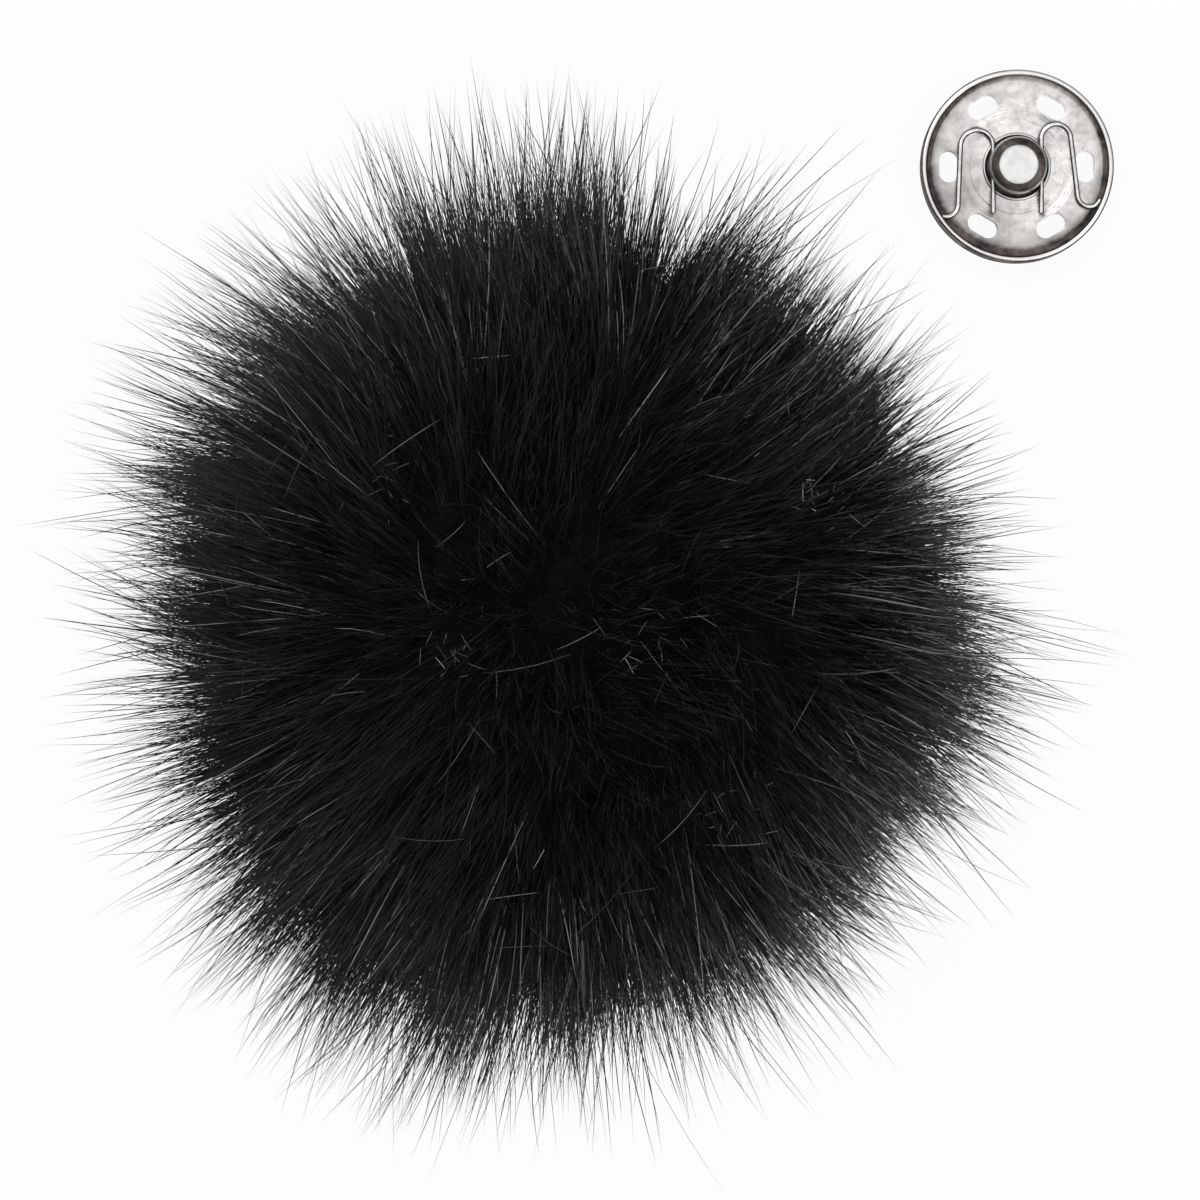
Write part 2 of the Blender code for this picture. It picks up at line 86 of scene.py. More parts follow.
GOLDEN_ANGLE = math.pi * (3 - math.sqrt(5))
PARTING_TOP_RADIUS = PATCH_RADIUS + 1.0 * MM
PARTING_FLARE = 3.5 * MM
MAT_RADIUS = 34.2 * MM  # inside this the underfur is too dense to see through
MAT_ROOM = 0.5 * MM  # between the mat's inside and the skin
TUFT_COUNT = 2200
LOCK_COUNT = 420
GUARD_HAIRS = 36000
UNDERFUR_HAIRS = 52000
STRAY_HAIRS = 84
UNRULY_SHARE = 0.14  # how many of the guard hairs cross the others
GUARD_STEPS = 5
UNDERFUR_STEPS = 2
GUARD_WIDTH = 0.155 * MM
UNDERFUR_WIDTH = 0.11 * MM
STRAY_WIDTH = 0.10 * MM
# How far from the ball's centre the hairs reach, in mm: most guard hairs are short, and a few much longer
SHORT_TIPS = (37.2, 44.6)
SHORT_SHARE = 0.58
LONG_TIPS_FROM = 43.0
LONG_TIPS_SPREAD = 3.2
LONGEST_TIP = 53.0
UNDERFUR_TIPS = (35.2, 41.0)
PRESS_SOFTNESS = 1.6 * MM  # the depth over which the table bends hairs aside
TONE_COLUMNS = 64  # how many different tones the hairs have
DULL_COLUMNS = 16  # how many of them are dull: rougher, and never painted with glints
PIECE_TRIANGLES = 190000

# Bearings, in degrees round from +X, where the fur is longer: (bearing, half width, extra length in mm)
LONG_LOCKS = [
    (124, 34, 4.6), (240, 26, 4.2), (88, 12, 2.4), (350, 14, 0.9), (36, 28, -3.8), (321, 20, -4.4),
    (150, 9, 2.4), (224, 9, 1.6), (257, 9, 1.8), (200, 12, 1.2), (120, 8, 1.2), (300, 9, 1.5),
    (2, 9, -1.0), (60, 9, -1.0), (78, 4, -1.0), (272, 8, -1.0), (167, 8, -1.4),
]
# And where the short hair is shorter still, so that the fur's edge is softer
SPARSE_SIDES = [(46, 26, -2.4), (302, 30, -1.5), (350, 20, -0.8), (92, 12, -0.8), (262, 16, -0.9)]
# The fur parts on a line that runs down over the crown from here
CROWN_PARTING_BEARING = 79.0
# Where short broken hairs are painted light as glints: (x, y) in mm from the middle of a crown of that
# radius
GLINT_CROWN = 40.5
GLINT_PLACES = [(-12.3, -3.1), (-19.4, 14.4), (26.6, -21.7), (15.6, -18.4), (6.9, -3.1), (24.0, 12.0)]
GLINTS_EACH = 14

PATCH_HEM_WIDTH = 1.8 * MM
PATCH_HEM_SET_BACK = 0.9 * MM
PATCH_EDGE_ROUND = 0.3 * MM
STITCH_COUNT = 12
STITCH_THREAD = 0.6 * MM
STITCH_HOLE = 0.9 * MM
STITCH_INSET = 1.0 * MM
MOUTH_RADIUS = 3.0 * MM
GATHER_THREAD = 0.8 * MM
THREAD_PLIES = 3
KNOT_SIZE = 1.7 * MM

# -------- dimensions of the snap

SLOT_COUNT = 6
SLOT_CIRCLE = SNAP_RADIUS - 3.05 * MM
SLOT_WIDTH = 2.05 * MM
SLOT_LENGTH = 3.45 * MM
SHEET = 0.4 * MM
PLAY = 0.1 * MM
SNAP_STEPS = 96
RING_PITCH = 0.34 * MM  # of the fine rings that turning left
WEAR_DEPTH = 0.02 * MM

# -------- studio

CAMERA_ABOVE_TABLE = 650.0 * MM
CAMERA_OFF_AXIS = (2.35 * MM, 2.24 * MM)
VIEW_ACROSS_TABLE = 131.3 * MM
BACKDROP_SHARE = 0.92


# ======== small helpers


def pick(thing):
    """Makes one object the only selected and active one."""
    bpy.ops.object.select_all(action="DESELECT")
    thing.select_set(True)
    bpy.context.view_layer.objects.active = thing


def apply_all(thing):
    """Applies every modifier and puts the object's place into its mesh."""
    pick(thing)
    for modifier in list(thing.modifiers):
        bpy.ops.object.modifier_apply(modifier=modifier.name)
    bpy.ops.object.transform_apply(location=True, rotation=True, scale=True)


def named(name):
    thing = bpy.context.object
    thing.name = name
    thing.data.name = name
    return thing


def placed(name, data):
    """A new object for some data, linked into the scene."""
    thing = bpy.data.objects.new(name, data)
    bpy.context.scene.collection.objects.link(thing)
    return thing


def modify(thing, name, kind, **settings):
    made = thing.modifiers.new(name, kind)
    for setting, value in settings.items():
        setattr(made, setting, value)


def soften_edges(thing, width, degrees):
    """Rounds the edges that are sharper than an angle."""
    limit = math.radians(degrees)
    modify(thing, "Soft edges", "BEVEL", width=width, segments=2, limit_method="ANGLE", angle_limit=limit)


def ruffle(thing, name, size, strength, mid_level):
    """Shoves the surface in and out by clouds of a size."""
    clouds = bpy.data.textures.new(name, "CLOUDS")
    clouds.noise_scale = size
    modify(thing, name, "DISPLACE", texture=clouds, strength=strength, mid_level=mid_level)


def smooth_by_angle(thing, degrees):
    pick(thing)
    bpy.ops.object.shade_smooth_by_angle(angle=math.radians(degrees))


def dress(thing, material, body, slot, *nodes):
    """Gives a finished piece its material and its body, and hides the CAD nodes it stands for; slot is
    not used.
    """
    thing.data.materials.clear()
    thing.data.materials.append(material)
    if body:
        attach(thing, body)
    if nodes:
        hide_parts(*nodes)


def plug(tree, node, values):
    """Links each value that is another node's socket to its input, and sets any other."""
    for name, value in values.items():
        if isinstance(value, bpy.types.NodeSocket):
            tree.links.new(value, node.inputs[name])
        else:
            node.inputs[name].default_value = value
    return node


def add(tree, kind, values=None, **settings):
    """A shader node with its settings and values."""
    made = tree.nodes.new("ShaderNode" + kind)
    for name, setting in settings.items():
        setattr(made, name, setting)
    return plug(tree, made, values or {})


def maths(tree, operation, first, second=0.0, third=0.0):
    return add(tree, "Math", {0: first, 1: second, 2: third}, operation=operation).outputs[0]


def along_way(tree, place, way):
    """How far a place lies along a direction."""
    return add(tree, "VectorMath", {0: place, 1: way}, operation="DOT_PRODUCT").outputs[1]


def spread(tree, value, from_low, from_high, to_low=0.0, to_high=1.0):
    """Maps a range of values to another, held at its ends."""
    sockets = {0: value, 1: from_low, 2: from_high, 3: to_low, 4: to_high}
    return add(tree, "MapRange", sockets).outputs[0]


def ramp(tree, value, stops):
    """Colours along a value: each stop is (position, colour)."""
    made = add(tree, "ValToRGB", {0: value})
    elements = made.color_ramp.elements
    while len(elements) < len(stops):
        elements.new(0.5)
    for element, (position, colour) in zip(elements, stops):
        element.position = position
        element.color = (*colour, 1.0)
    return made.outputs[0]


def blended(tree, factor, first, second):
    """One colour over another, by a factor."""
    colours = [(*c, 1.0) if isinstance(c, tuple) else c for c in (first, second)]
    return add(tree, "Mix", {0: factor, 6: colours[0], 7: colours[1]}, data_type="RGBA").outputs[2]


def noise(tree, place, scale, detail=3.0, roughness=0.55, distortion=0.0):
    values = {"Vector": place, "Scale": scale, "Detail": detail, "Roughness": roughness}
    return add(tree, "TexNoise", {**values, "Distortion": distortion}).outputs[0]


def object_place(tree, centre):
    """Object coordinates, measured from a centre."""
    source = add(tree, "TexCoord").outputs["Object"]
    return add(tree, "VectorMath", {0: source, 1: Vector(centre)}, operation="SUBTRACT").outputs[0]


def new_material(name, roughness=0.5, metallic=0.0, specular=0.5):
    material = bpy.data.materials.new(name)
    material.use_nodes = True
    tree = material.node_tree
    surface = tree.nodes["Principled BSDF"]
    plug(tree, surface, {"Roughness": roughness, "Metallic": metallic, "Specular IOR Level": specular})
    return material, tree, surface


def finish_look(tree, surface, colour, height, distance, **others):
    """Feeds the surface its colour, a relief of that depth, and any other values."""
    bump = add(tree, "Bump", {"Height": height, "Distance": distance, "Strength": 1.0})
    plug(tree, surface, {"Base Color": colour, "Normal": bump.outputs[0], **others})


# ======== materials


def fur_material(name, root, tip, light, roughness, specular):
    """Hair that reads only its own map: the tone changes from column to column and root to tip."""
    material, tree, surface = new_material(name, specular=specular)
    along = add(tree, "SeparateXYZ", {0: add(tree, "UVMap", uv_map="OFBake").outputs[0]})
    column = maths(tree, "FLOOR", maths(tree, "MULTIPLY", along.outputs[0], TONE_COLUMNS))
    tone = add(tree, "TexWhiteNoise", {"W": column}, noise_dimensions="1D").outputs[0]
    body = blended(tree, along.outputs[1], root, tip)
    dull = maths(tree, "LESS_THAN", column, DULL_COLUMNS - 0.5)
    # Painted glints: a few columns that are not dull take the light colour, standing in for silvery
    # highlights on black hair.
    painted_glint = maths(tree, "MULTIPLY", maths(tree, "POWER", tone, 6.0), maths(tree, "SUBTRACT", 1.0, dull))
    rough = spread(tree, tone, 0.0, 1.0, roughness, roughness + 0.12)
    rough = maths(tree, "MULTIPLY_ADD", dull, 0.34, rough)
    plug(tree, surface, {"Base Color": blended(tree, painted_glint, body, light), "Roughness": rough})
    return material


# The last colour of each fur is its painted glint colour.
GUARD_FUR = fur_material(
    "guard_fur", (0.0025, 0.0025, 0.0027), (0.006, 0.006, 0.006), (0.60, 0.59, 0.58), 0.22, 0.48
)
UNDER_FUR = fur_material(
    "under_fur", (0.0025, 0.0025, 0.0026), (0.005, 0.005, 0.005), (0.010, 0.010, 0.010), 0.48, 0.30
)
# The stray and broken hairs are painted grey, lighter to the tip, and a few nearly white: painted glints.
STRAY_GLINT_FUR = fur_material(
    "stray_fur_painted_glints", (0.05, 0.05, 0.05), (0.15, 0.15, 0.15), (0.75, 0.75, 0.74), 0.25, 0.8
)


def plain_material(name, roughness, specular, centre, pattern, stops, depth, **others):
    """A material whose colour and relief both follow one pattern."""
    material, tree, surface = new_material(name, roughness, 0.0, specular)
    height = pattern(tree, object_place(tree, centre))
    finish_look(tree, surface, ramp(tree, height, stops), height, depth, **others)
    return material


def grain(*settings):
    """The pattern of plain noise."""
    return lambda tree, place: noise(tree, place, *settings)


def matted(tree, place):
    """Pressed fibres in every direction."""
    warped = noise(tree, place, 900.0, 4.0, 0.7, 2.5)
    fibres = noise(tree, place, 5200.0, 3.0, 0.7, 1.5)
    return maths(tree, "MULTIPLY_ADD", fibres, 0.6, maths(tree, "MULTIPLY", warped, 0.4))


def knitted(tree, place):
    """Fine columns of loops across rows."""
    values = {"Vector": place, "Scale": 620.0, "Distortion": 1.2, "Detail": 1.0}
    wales = add(tree, "TexWave", values, wave_type="BANDS", bands_direction="Z").outputs[1]
    values["Scale"] = 500.0
    rows = add(tree, "TexWave", values, wave_type="RINGS", rings_direction="Z").outputs[1]
    return maths(tree, "MULTIPLY", wales, rows)


ORIGIN = (0.0, 0.0, 0.0)
FUR_MAT = plain_material(  # the dense foot of the pile, nearly black
    "fur_mat", 0.85, 0.12, BALL_CENTRE, grain(2600.0, 2.0),
    [(0.3, (0.0015, 0.0015, 0.0016)), (0.75, (0.0045, 0.0045, 0.0045))], 0.2 * MM,
)
FELT = plain_material(
    "black_felt", 0.95, 0.15, ORIGIN, matted,
    [(0.36, (0.006, 0.006, 0.0065)), (0.66, (0.032, 0.031, 0.030))], 0.15 * MM, **{"Sheen Weight": 0.3},
)
THREAD = plain_material(
    "black_thread", 0.5, 0.45, ORIGIN, grain(7000.0, 2.0),
    [(0.35, (0.006, 0.006, 0.006)), (0.7, (0.022, 0.022, 0.023))], 0.03 * MM,
)
KNIT = plain_material(
    "tricot_knit", 0.9, 0.2, BALL_CENTRE, knitted,
    [(0.1, (0.004, 0.004, 0.004)), (0.8, (0.020, 0.020, 0.021))], 0.15 * MM,
)
FIBRE = plain_material(  # white crimped polyester, which light goes a little way into
    "white_filling", 0.8, 0.3, BALL_CENTRE, grain(1400.0, 5.0, 0.7, 3.0),
    [(0.35, (0.55, 0.54, 0.52)), (0.6, (0.80, 0.80, 0.79))], 0.4 * MM,
    **{"Subsurface Weight": 0.15, "Subsurface Scale": 1.0 * MM},
)


def plating_group():
    """Wear on old nickel plate: cloudy mottling, fine pits, rubbed scratches and a dark brown, which
    is partly tarnish and partly painted shade.
    """
    tree = bpy.data.node_groups.new("worn_plating", "ShaderNodeTree")
    inputs = [("Place", "Vector"), ("Tarnish and shade", "Float"), ("Dull", "Color"), ("Bright", "Color")]
    outputs = [("Colour", "Color"), ("Roughness", "Float"), ("Height", "Float")]
    for way, sockets in (("INPUT", inputs), ("OUTPUT", outputs)):
        for name, kind in sockets:
            tree.interface.new_socket(name, in_out=way, socket_type="NodeSocket" + kind)
    given = tree.nodes.new("NodeGroupInput").outputs
    place = given["Place"]
    result = tree.nodes.new("NodeGroupOutput")
    clouds = noise(tree, place, 420.0, 4.0, 0.62, 0.4)
    blotches = noise(tree, place, 1500.0, 3.0, 0.6)
    pits = noise(tree, place, 9000.0, 2.0)
    stretch = {"Rotation": (0.0, 0.0, 0.7), "Scale": (5200.0, 260.0, 900.0)}
    stretched = add(tree, "Mapping", {"Vector": place, **stretch}).outputs[0]
    scratch = add(tree, "TexNoise", {"Vector": stretched, "Scale": 1.0, "Detail": 2.0}).outputs[0]
    scratch = spread(tree, scratch, 0.60, 0.72)
    worn = maths(tree, "MULTIPLY_ADD", clouds, 0.6, maths(tree, "MULTIPLY", blotches, 0.4))
    worn = spread(tree, worn, 0.40, 0.60)
    colour = blended(tree, worn, given["Dull"], given["Bright"])
    colour = blended(tree, maths(tree, "MULTIPLY", scratch, 0.35), colour, (0.82, 0.80, 0.79))
    # The dark brown is partly tarnish and partly painted shade, laid where the tarnish input is high.
    edge = maths(tree, "ADD", given["Tarnish and shade"], maths(tree, "MULTIPLY_ADD", blotches, 0.9, -0.45))
    tarnish_and_shade = spread(tree, maths(tree, "MULTIPLY", edge, given["Tarnish and shade"]), 0.02, 1.15)
    brown = ramp(tree, clouds, [(0.36, (0.034, 0.031, 0.031)), (0.64, (0.17, 0.145, 0.133))])
    colour = blended(tree, tarnish_and_shade, colour, brown)
    rough = maths(tree, "MULTIPLY_ADD", tarnish_and_shade, 0.22, spread(tree, worn, 0.0, 1.0, 0.36, 0.24))
    height = maths(tree, "MULTIPLY_ADD", pits, 0.35, maths(tree, "MULTIPLY", blotches, 0.5))
    height = maths(tree, "MULTIPLY_ADD", scratch, -0.3, height)
    plug(tree, result, {"Colour": colour, "Roughness": rough, "Height": height})
    return tree


WORN_PLATING = plating_group()


def by_radius(tree, share, stops):
    """An amount that changes with the distance from the snap's axis: each stop is (mm, amount)."""
    return ramp(tree, share, [(r * MM / SNAP_RADIUS, (amount,) * 3) for r, amount in stops])


def plated_material(name, dull, bright, tarnish_and_shade_stops, polish_and_highlight_stops, rings):
    """Nickel-plated steel centred on the snap: tarnish with painted shade, and polish with painted
    highlights, by radius; darker towards the bottom and the lower left; and fine turning rings.
    """
    material, tree, surface = new_material(name, metallic=1.0)
    place = object_place(tree, (*SNAP_CENTRE, TABLE_Z))
    flat = add(tree, "VectorMath", {0: place, 1: (1.0, 1.0, 0.0)}, operation="MULTIPLY").outputs[0]
    radius = add(tree, "VectorMath", {0: flat}, operation="LENGTH").outputs[1]
    share = maths(tree, "DIVIDE", radius, SNAP_RADIUS)
    tarnish_and_shade_amount = by_radius(tree, share, tarnish_and_shade_stops)
    polish_and_highlight = by_radius(tree, share, polish_and_highlight_stops)
    # Darker towards the bottom and the lower left, over the whole plate.
    lean = along_way(tree, place, (-0.25, -0.95, 0.0))
    lean = spread(tree, lean, -SNAP_RADIUS, SNAP_RADIUS, 0.55, 1.60)
    darker_lower_left = along_way(tree, place, (-0.80, -0.60, 0.0))
    darker_lower_left = spread(tree, darker_lower_left, -0.5 * MM, 5.0 * MM, 0.0, 0.62)
    tarnish_and_shade_amount = maths(tree, "MAXIMUM", maths(tree, "MULTIPLY", tarnish_and_shade_amount, lean), darker_lower_left)
    group = tree.nodes.new("ShaderNodeGroup")
    group.node_tree = WORN_PLATING
    looks = {"Dull": (*dull, 1.0), "Bright": (*bright, 1.0)}
    worn = plug(tree, group, {"Place": place, "Tarnish and shade": tarnish_and_shade_amount, **looks}).outputs
    # Polish: a lighter colour, partly painted highlight, and a smoother plate.
    colour = blended(tree, polish_and_highlight, worn["Colour"], (0.86, 0.85, 0.84))
    rough = maths(tree, "MULTIPLY_ADD", polish_and_highlight, -0.10, worn["Roughness"])
    turning = maths(tree, "SINE", maths(tree, "MULTIPLY", radius, 2 * math.pi / RING_PITCH))
    fade = spread(tree, noise(tree, place, 260.0, 2.0), 0.45, 0.65)
    turning = maths(tree, "MULTIPLY", maths(tree, "MULTIPLY", turning, fade), rings)
    height = maths(tree, "ADD", worn["Height"], turning)
    finish_look(tree, surface, colour, height, WEAR_DEPTH, Roughness=rough)
    return material


# By radius in mm: the dark band at the foot of the rim's wall, the dark line round its outside and the
# dark inside of the hub are painted shade, partly brown tarnish too.
DISH_TARNISH_AND_SHADE = [
    (0.0, 0.6), (3.3, 0.9), (3.75, 0.25), (4.3, 0.30), (4.9, 0.08), (5.8, 0.12), (7.4, 0.34), (8.6, 0.50),
    (9.3, 0.80), (9.5, 1.3), (9.9, 1.6), (10.02, 0.25), (10.32, 0.2), (10.44, 1.8),
]
# By radius in mm: the bright rings on the hub's collar, at 5.6 mm and on the crown of the rim's bead are
# painted highlights, on smoother plate.
DISH_POLISH_AND_HIGHLIGHT = [
    (0.0, 0.0), (3.40, 0.0), (3.55, 0.55), (3.72, 0.0), (5.4, 0.0), (5.62, 0.12), (5.9, 0.0),
    (9.98, 0.0), (10.12, 0.95), (10.28, 0.95), (10.38, 0.0),
]
# By radius in mm: the dark rings round the knob's head and at its edge are painted shade.
KNOB_SHADE_RINGS = [
    (0.0, 0.0), (1.95, 0.0), (2.2, 1.2), (2.85, 1.5), (2.98, 0.3), (3.08, 0.2), (3.15, 1.2),
]
# The knob's flat top and a thin ring at its edge are painted highlights, on smoother plate.
KNOB_POLISH_AND_HIGHLIGHT = [(0.0, 0.62), (1.8, 0.62), (2.1, 0.0), (2.9, 0.0), (3.02, 0.35), (3.15, 0.0)]
NICKEL = plated_material(
    "worn_nickel", (0.56, 0.54, 0.53), (0.90, 0.875, 0.865), DISH_TARNISH_AND_SHADE, DISH_POLISH_AND_HIGHLIGHT, 0.25
)
KNOB_STEEL = plated_material(
    "knob_nickel", (0.45, 0.44, 0.43), (0.84, 0.82, 0.81), KNOB_SHADE_RINGS, KNOB_POLISH_AND_HIGHLIGHT, 0.0
)


def spring_material():
    """Bright drawn wire with faint lengthwise wear, painted dark on its sides and underside as shade."""
    material, tree, surface = new_material("spring_steel", metallic=1.0)
    place = object_place(tree, (*SNAP_CENTRE, WIRE_Z))
    wear = noise(tree, place, 1300.0, 3.0, 0.6)
    colour = ramp(tree, wear, [(0.35, (0.60, 0.59, 0.58)), (0.62, (0.90, 0.89, 0.88))])
    # Painted shade: all but the wire's top crest is painted nearly black.
    side = add(tree, "SeparateXYZ", {0: place}).outputs[2]
    low = spread(tree, side, WIRE_DIAMETER * 0.28, WIRE_DIAMETER * 0.48, 1.0, 0.0)
    colour = blended(tree, maths(tree, "MULTIPLY", low, 0.94), colour, (0.04, 0.036, 0.034))
    rough = spread(tree, wear, 0.3, 0.7, 0.30, 0.18)
    finish_look(tree, surface, colour, noise(tree, place, 8000.0, 2.0), 0.008 * MM, Roughness=rough)
    return material


SPRING = spring_material()


# ======== fur


def unit(vectors):
    return vectors / np.linalg.norm(vectors, axis=-1, keepdims=True)


def spread_directions(count, rng, wander):
    """Directions spread evenly over a ball from its top down, each moved a little."""
    step = np.arange(count) + 0.5
    height = 1 - 2 * step / count
    ring = np.sqrt(1 - height**2)
    bearing = step * GOLDEN_ANGLE
    places = np.stack([ring * np.cos(bearing), ring * np.sin(bearing), height], axis=1)
    return unit(places + rng.normal(0.0, wander, places.shape))


def closest(places, centres):
    """For each direction, the number of the centre nearest to it."""
    parts = np.array_split(places.astype(np.float32), 40)
    centres = centres.astype(np.float32).T
    return np.concatenate([np.argmax(part @ centres, axis=1) for part in parts])


def sideways(vectors, places):
    """What is left of vectors at right angles to the way out of the ball."""
    return vectors - places * np.sum(vectors * places, axis=1, keepdims=True)


def drift(places, rng, waves, fineness):
    """A smooth random lean over the ball, which neighbouring locks share."""
    ways = rng.normal(0.0, fineness, (waves, 3))
    phases = rng.uniform(0.0, 2 * math.pi, (waves, 3))
    sizes = rng.normal(0.0, 1.0, (waves, 3)) / math.sqrt(waves)
    turns = (places @ ways.T)[:, :, None] + phases
    return np.sum(np.sin(turns) * sizes, axis=1)


def off_bearing(places, bearing):
    """Degrees between each direction's bearing and a given one, with its sign."""
    own = np.degrees(np.arctan2(places[:, 1], places[:, 0]))
    return (own - bearing + 180.0) % 360.0 - 180.0


def extra_length(places, locks=LONG_LOCKS):
    """How much longer the fur is, by bearing. The crown has none of it."""
    extra = np.zeros(len(places))
    for bearing, half_width, length in locks:
        extra += length * MM * np.exp(-((off_bearing(places, bearing) / half_width) ** 2))
    low = np.hypot(places[:, 0], places[:, 1])
    return extra * low**2


def lean_field(places, rng):
    """The way each place's fur leans: outwards and down from the crown, aside from the parting, and
    with the random sweep of its lock."""
    outward = places * [1.0, 1.0, 0.0]
    lean = 0.36 * outward * (0.45 + 0.8 * np.clip(places[:, 2:], 0.0, 1.0))
    lean = lean + [0.0, 0.0, -0.10]
    along = math.radians(CROWN_PARTING_BEARING)
    across = np.array([math.sin(along), -math.cos(along), 0.0])
    side = places @ across
    on_line = places @ np.array([math.cos(along), math.sin(along), 0.25]) > 0.1
    near = np.exp(-((side / 0.30) ** 2)) * on_line
    lean = lean + across * (np.tanh(side / 0.05) * near * 0.30)[:, None]
    lean = lean + 0.24 * drift(places, rng, 9, 3.0)
    return sideways(lean, places)


def make_tufts(rng):
    """Where the tufts stand, the way each leans, and how tightly it closes."""
    locks = spread_directions(LOCK_COUNT, rng, 0.03)
    lock_lean = rng.normal(0.0, 0.13, (LOCK_COUNT, 3))
    lock_length = rng.normal(0.0, 1.0, LOCK_COUNT)
    places = spread_directions(TUFT_COUNT, rng, 0.012)
    lock = closest(places, locks)
    lean = lean_field(places, rng) + lock_lean[lock] + rng.normal(0.0, 0.09, (TUFT_COUNT, 3))
    heading = unit(places + sideways(lean, places))
    closing = rng.uniform(0.0, 1.0, TUFT_COUNT) ** 1.1 * 0.9
    length = lock_length[lock] * 0.9 * MM + rng.normal(0.0, 0.8 * MM, TUFT_COUNT)
    return {"places": places, "heading": heading, "closing": closing, "length": length}


def grow(places, foot, tip, tufts, rng, steps, jitter, curl, closing):
    """The points of hairs that grow from a ball of radius foot and reach radius tip, as an array of
    hairs by points by xyz, measured from the ball's centre."""
    tuft = closest(places, tufts["places"])
    wander = sideways(rng.normal(0.0, jitter, places.shape), places)
    heading = unit(tufts["heading"][tuft] + wander)
    upright = np.clip(np.sum(heading * places, axis=1), 0.80, 1.0)
    length = ((tip - foot) / upright)[:, None, None]
    share = np.linspace(0.0, 1.0, steps + 1)[None, :, None]
    swing = unit(sideways(rng.normal(0.0, 1.0, places.shape), places))
    bow = (swing * rng.normal(0.0, curl, (len(places), 1)))[:, None, :]
    lines = places[:, None, :] * foot + heading[:, None, :] * length * share
    lines = lines + bow * length * share**2
    axis = tufts["places"][tuft][:, None, :] * foot + tufts["heading"][tuft][:, None, :] * length * share
    pull = (tufts["closing"][tuft] * closing)[:, None, None] * share**1.2
    return lines + (axis - lines) * pull


def clear_parting(lines):
    """Hairs that would cross the hollow under the base patch go round it."""
    drop = (SKIN_BASE_Z - lines[..., 2]) / (SKIN_BASE_Z - TABLE_Z)
    edge = PARTING_TOP_RADIUS + PARTING_FLARE * np.clip(drop, 0.0, 1.0)
    reach = np.maximum(np.hypot(lines[..., 0], lines[..., 1]), 1e-6)
    grown = np.where(lines[..., 2] < BALL_CENTRE.z, np.maximum(reach, edge), reach) / reach
    lines[..., :2] *= grown[..., None]
    return lines


def press_on_table(lines):
    """Hairs that would go through the table lie down on it and spread."""
    above = lines[..., 2] - TABLE_Z - GUARD_WIDTH
    pressed = PRESS_SOFTNESS * np.logaddexp(0.0, above / PRESS_SOFTNESS)
    lifted = pressed - above
    reach = np.maximum(np.hypot(lines[..., 0], lines[..., 1]), 1e-6)
    spill = 1.0 + 0.55 * lifted / reach
    lines[..., 2] = TABLE_Z + GUARD_WIDTH + pressed
    lines[..., :2] *= spill[..., None]
    return lines


def settle(lines):
    return press_on_table(clear_parting(lines + np.array(BALL_CENTRE)))


def strand_points(lines, width):
    """Three-sided tapering strands round lines: their rings of points, and a point for each tip."""
    along = unit(np.gradient(lines, axis=1))
    reference = unit(np.cross(along[:, :1], np.array([0.31, 0.57, 0.76])))
    first = unit(np.cross(along, reference))
    second = np.cross(along, first)
    steps = lines.shape[1] - 1
    share = np.linspace(0.0, 1.0, steps + 1)[:steps]
    taper = (0.80 + 0.20 * np.sin(math.pi * share)) * (1.0 - 0.58 * share**2.2)
    radius = width[:, None] * taper[None, :] / 2
    corners = []
    for turn in (0.0, 2 * math.pi / 3, 4 * math.pi / 3):
        way = first[:, :steps] * math.cos(turn) + second[:, :steps] * math.sin(turn)
        corners.append(lines[:, :steps] + way * radius[..., None])
    rings = np.stack(corners, axis=2)
    return np.concatenate([rings.reshape(len(lines), -1, 3), lines[:, -1:]], axis=1)


def strand_pattern(steps):
    """The faces of one strand. Each corner is (point number, share of the length, share across)."""
    faces = [[(0, 0.0, 0.0), (2, 0.0, 1.0), (1, 0.0, 0.5)]]
    for ring in range(steps):
        low, high = ring / steps, (ring + 1) / steps
        for side in range(3):
            first, second = 3 * ring + side, 3 * ring + (side + 1) % 3
            face = [(first, low, 0.0), (second, low, 1.0)]
            if ring < steps - 1:
                face += [(second + 3, high, 1.0), (first + 3, high, 0.0)]
            else:
                face.append((3 * steps, 1.0, 0.5))
            faces.append(face)
    return faces


def strand_mesh(name, points, steps, tones):
    """One mesh of closed strands, with a map whose columns are tones and whose rows go up the hair."""
    faces = strand_pattern(steps)
    corners, upward, across = np.array(sum(faces, [])).T
    per_hair = points.shape[1]
    count = len(points)
    starts = np.cumsum([0] + [len(face) for face in faces])[:-1]
    loops = (corners[None, :] + per_hair * np.arange(count)[:, None]).ravel()
    loop_starts = (starts[None, :] + len(corners) * np.arange(count)[:, None]).ravel()
    mesh = bpy.data.meshes.new(name)
    mesh.vertices.add(count * per_hair)
    mesh.vertices.foreach_set("co", points.astype(np.float32).ravel())
    mesh.loops.add(len(loops))
    mesh.loops.foreach_set("vertex_index", loops.astype(np.int32))
    mesh.polygons.add(len(loop_starts))
    mesh.polygons.foreach_set("loop_start", loop_starts.astype(np.int32))
    mesh.update(calc_edges=True)
    maps = np.empty((count, len(corners), 2), np.float32)
    maps[..., 0] = (tones[:, None] + (across * 0.8 + 0.1)[None, :]) / TONE_COLUMNS
    maps[..., 1] = upward[None, :] * 0.98 + 0.01
    layer = mesh.uv_layers.new(name="OFBake")
    layer.data.foreach_set("uv", maps.ravel())
    mesh.shade_smooth()
    return placed(name, mesh)


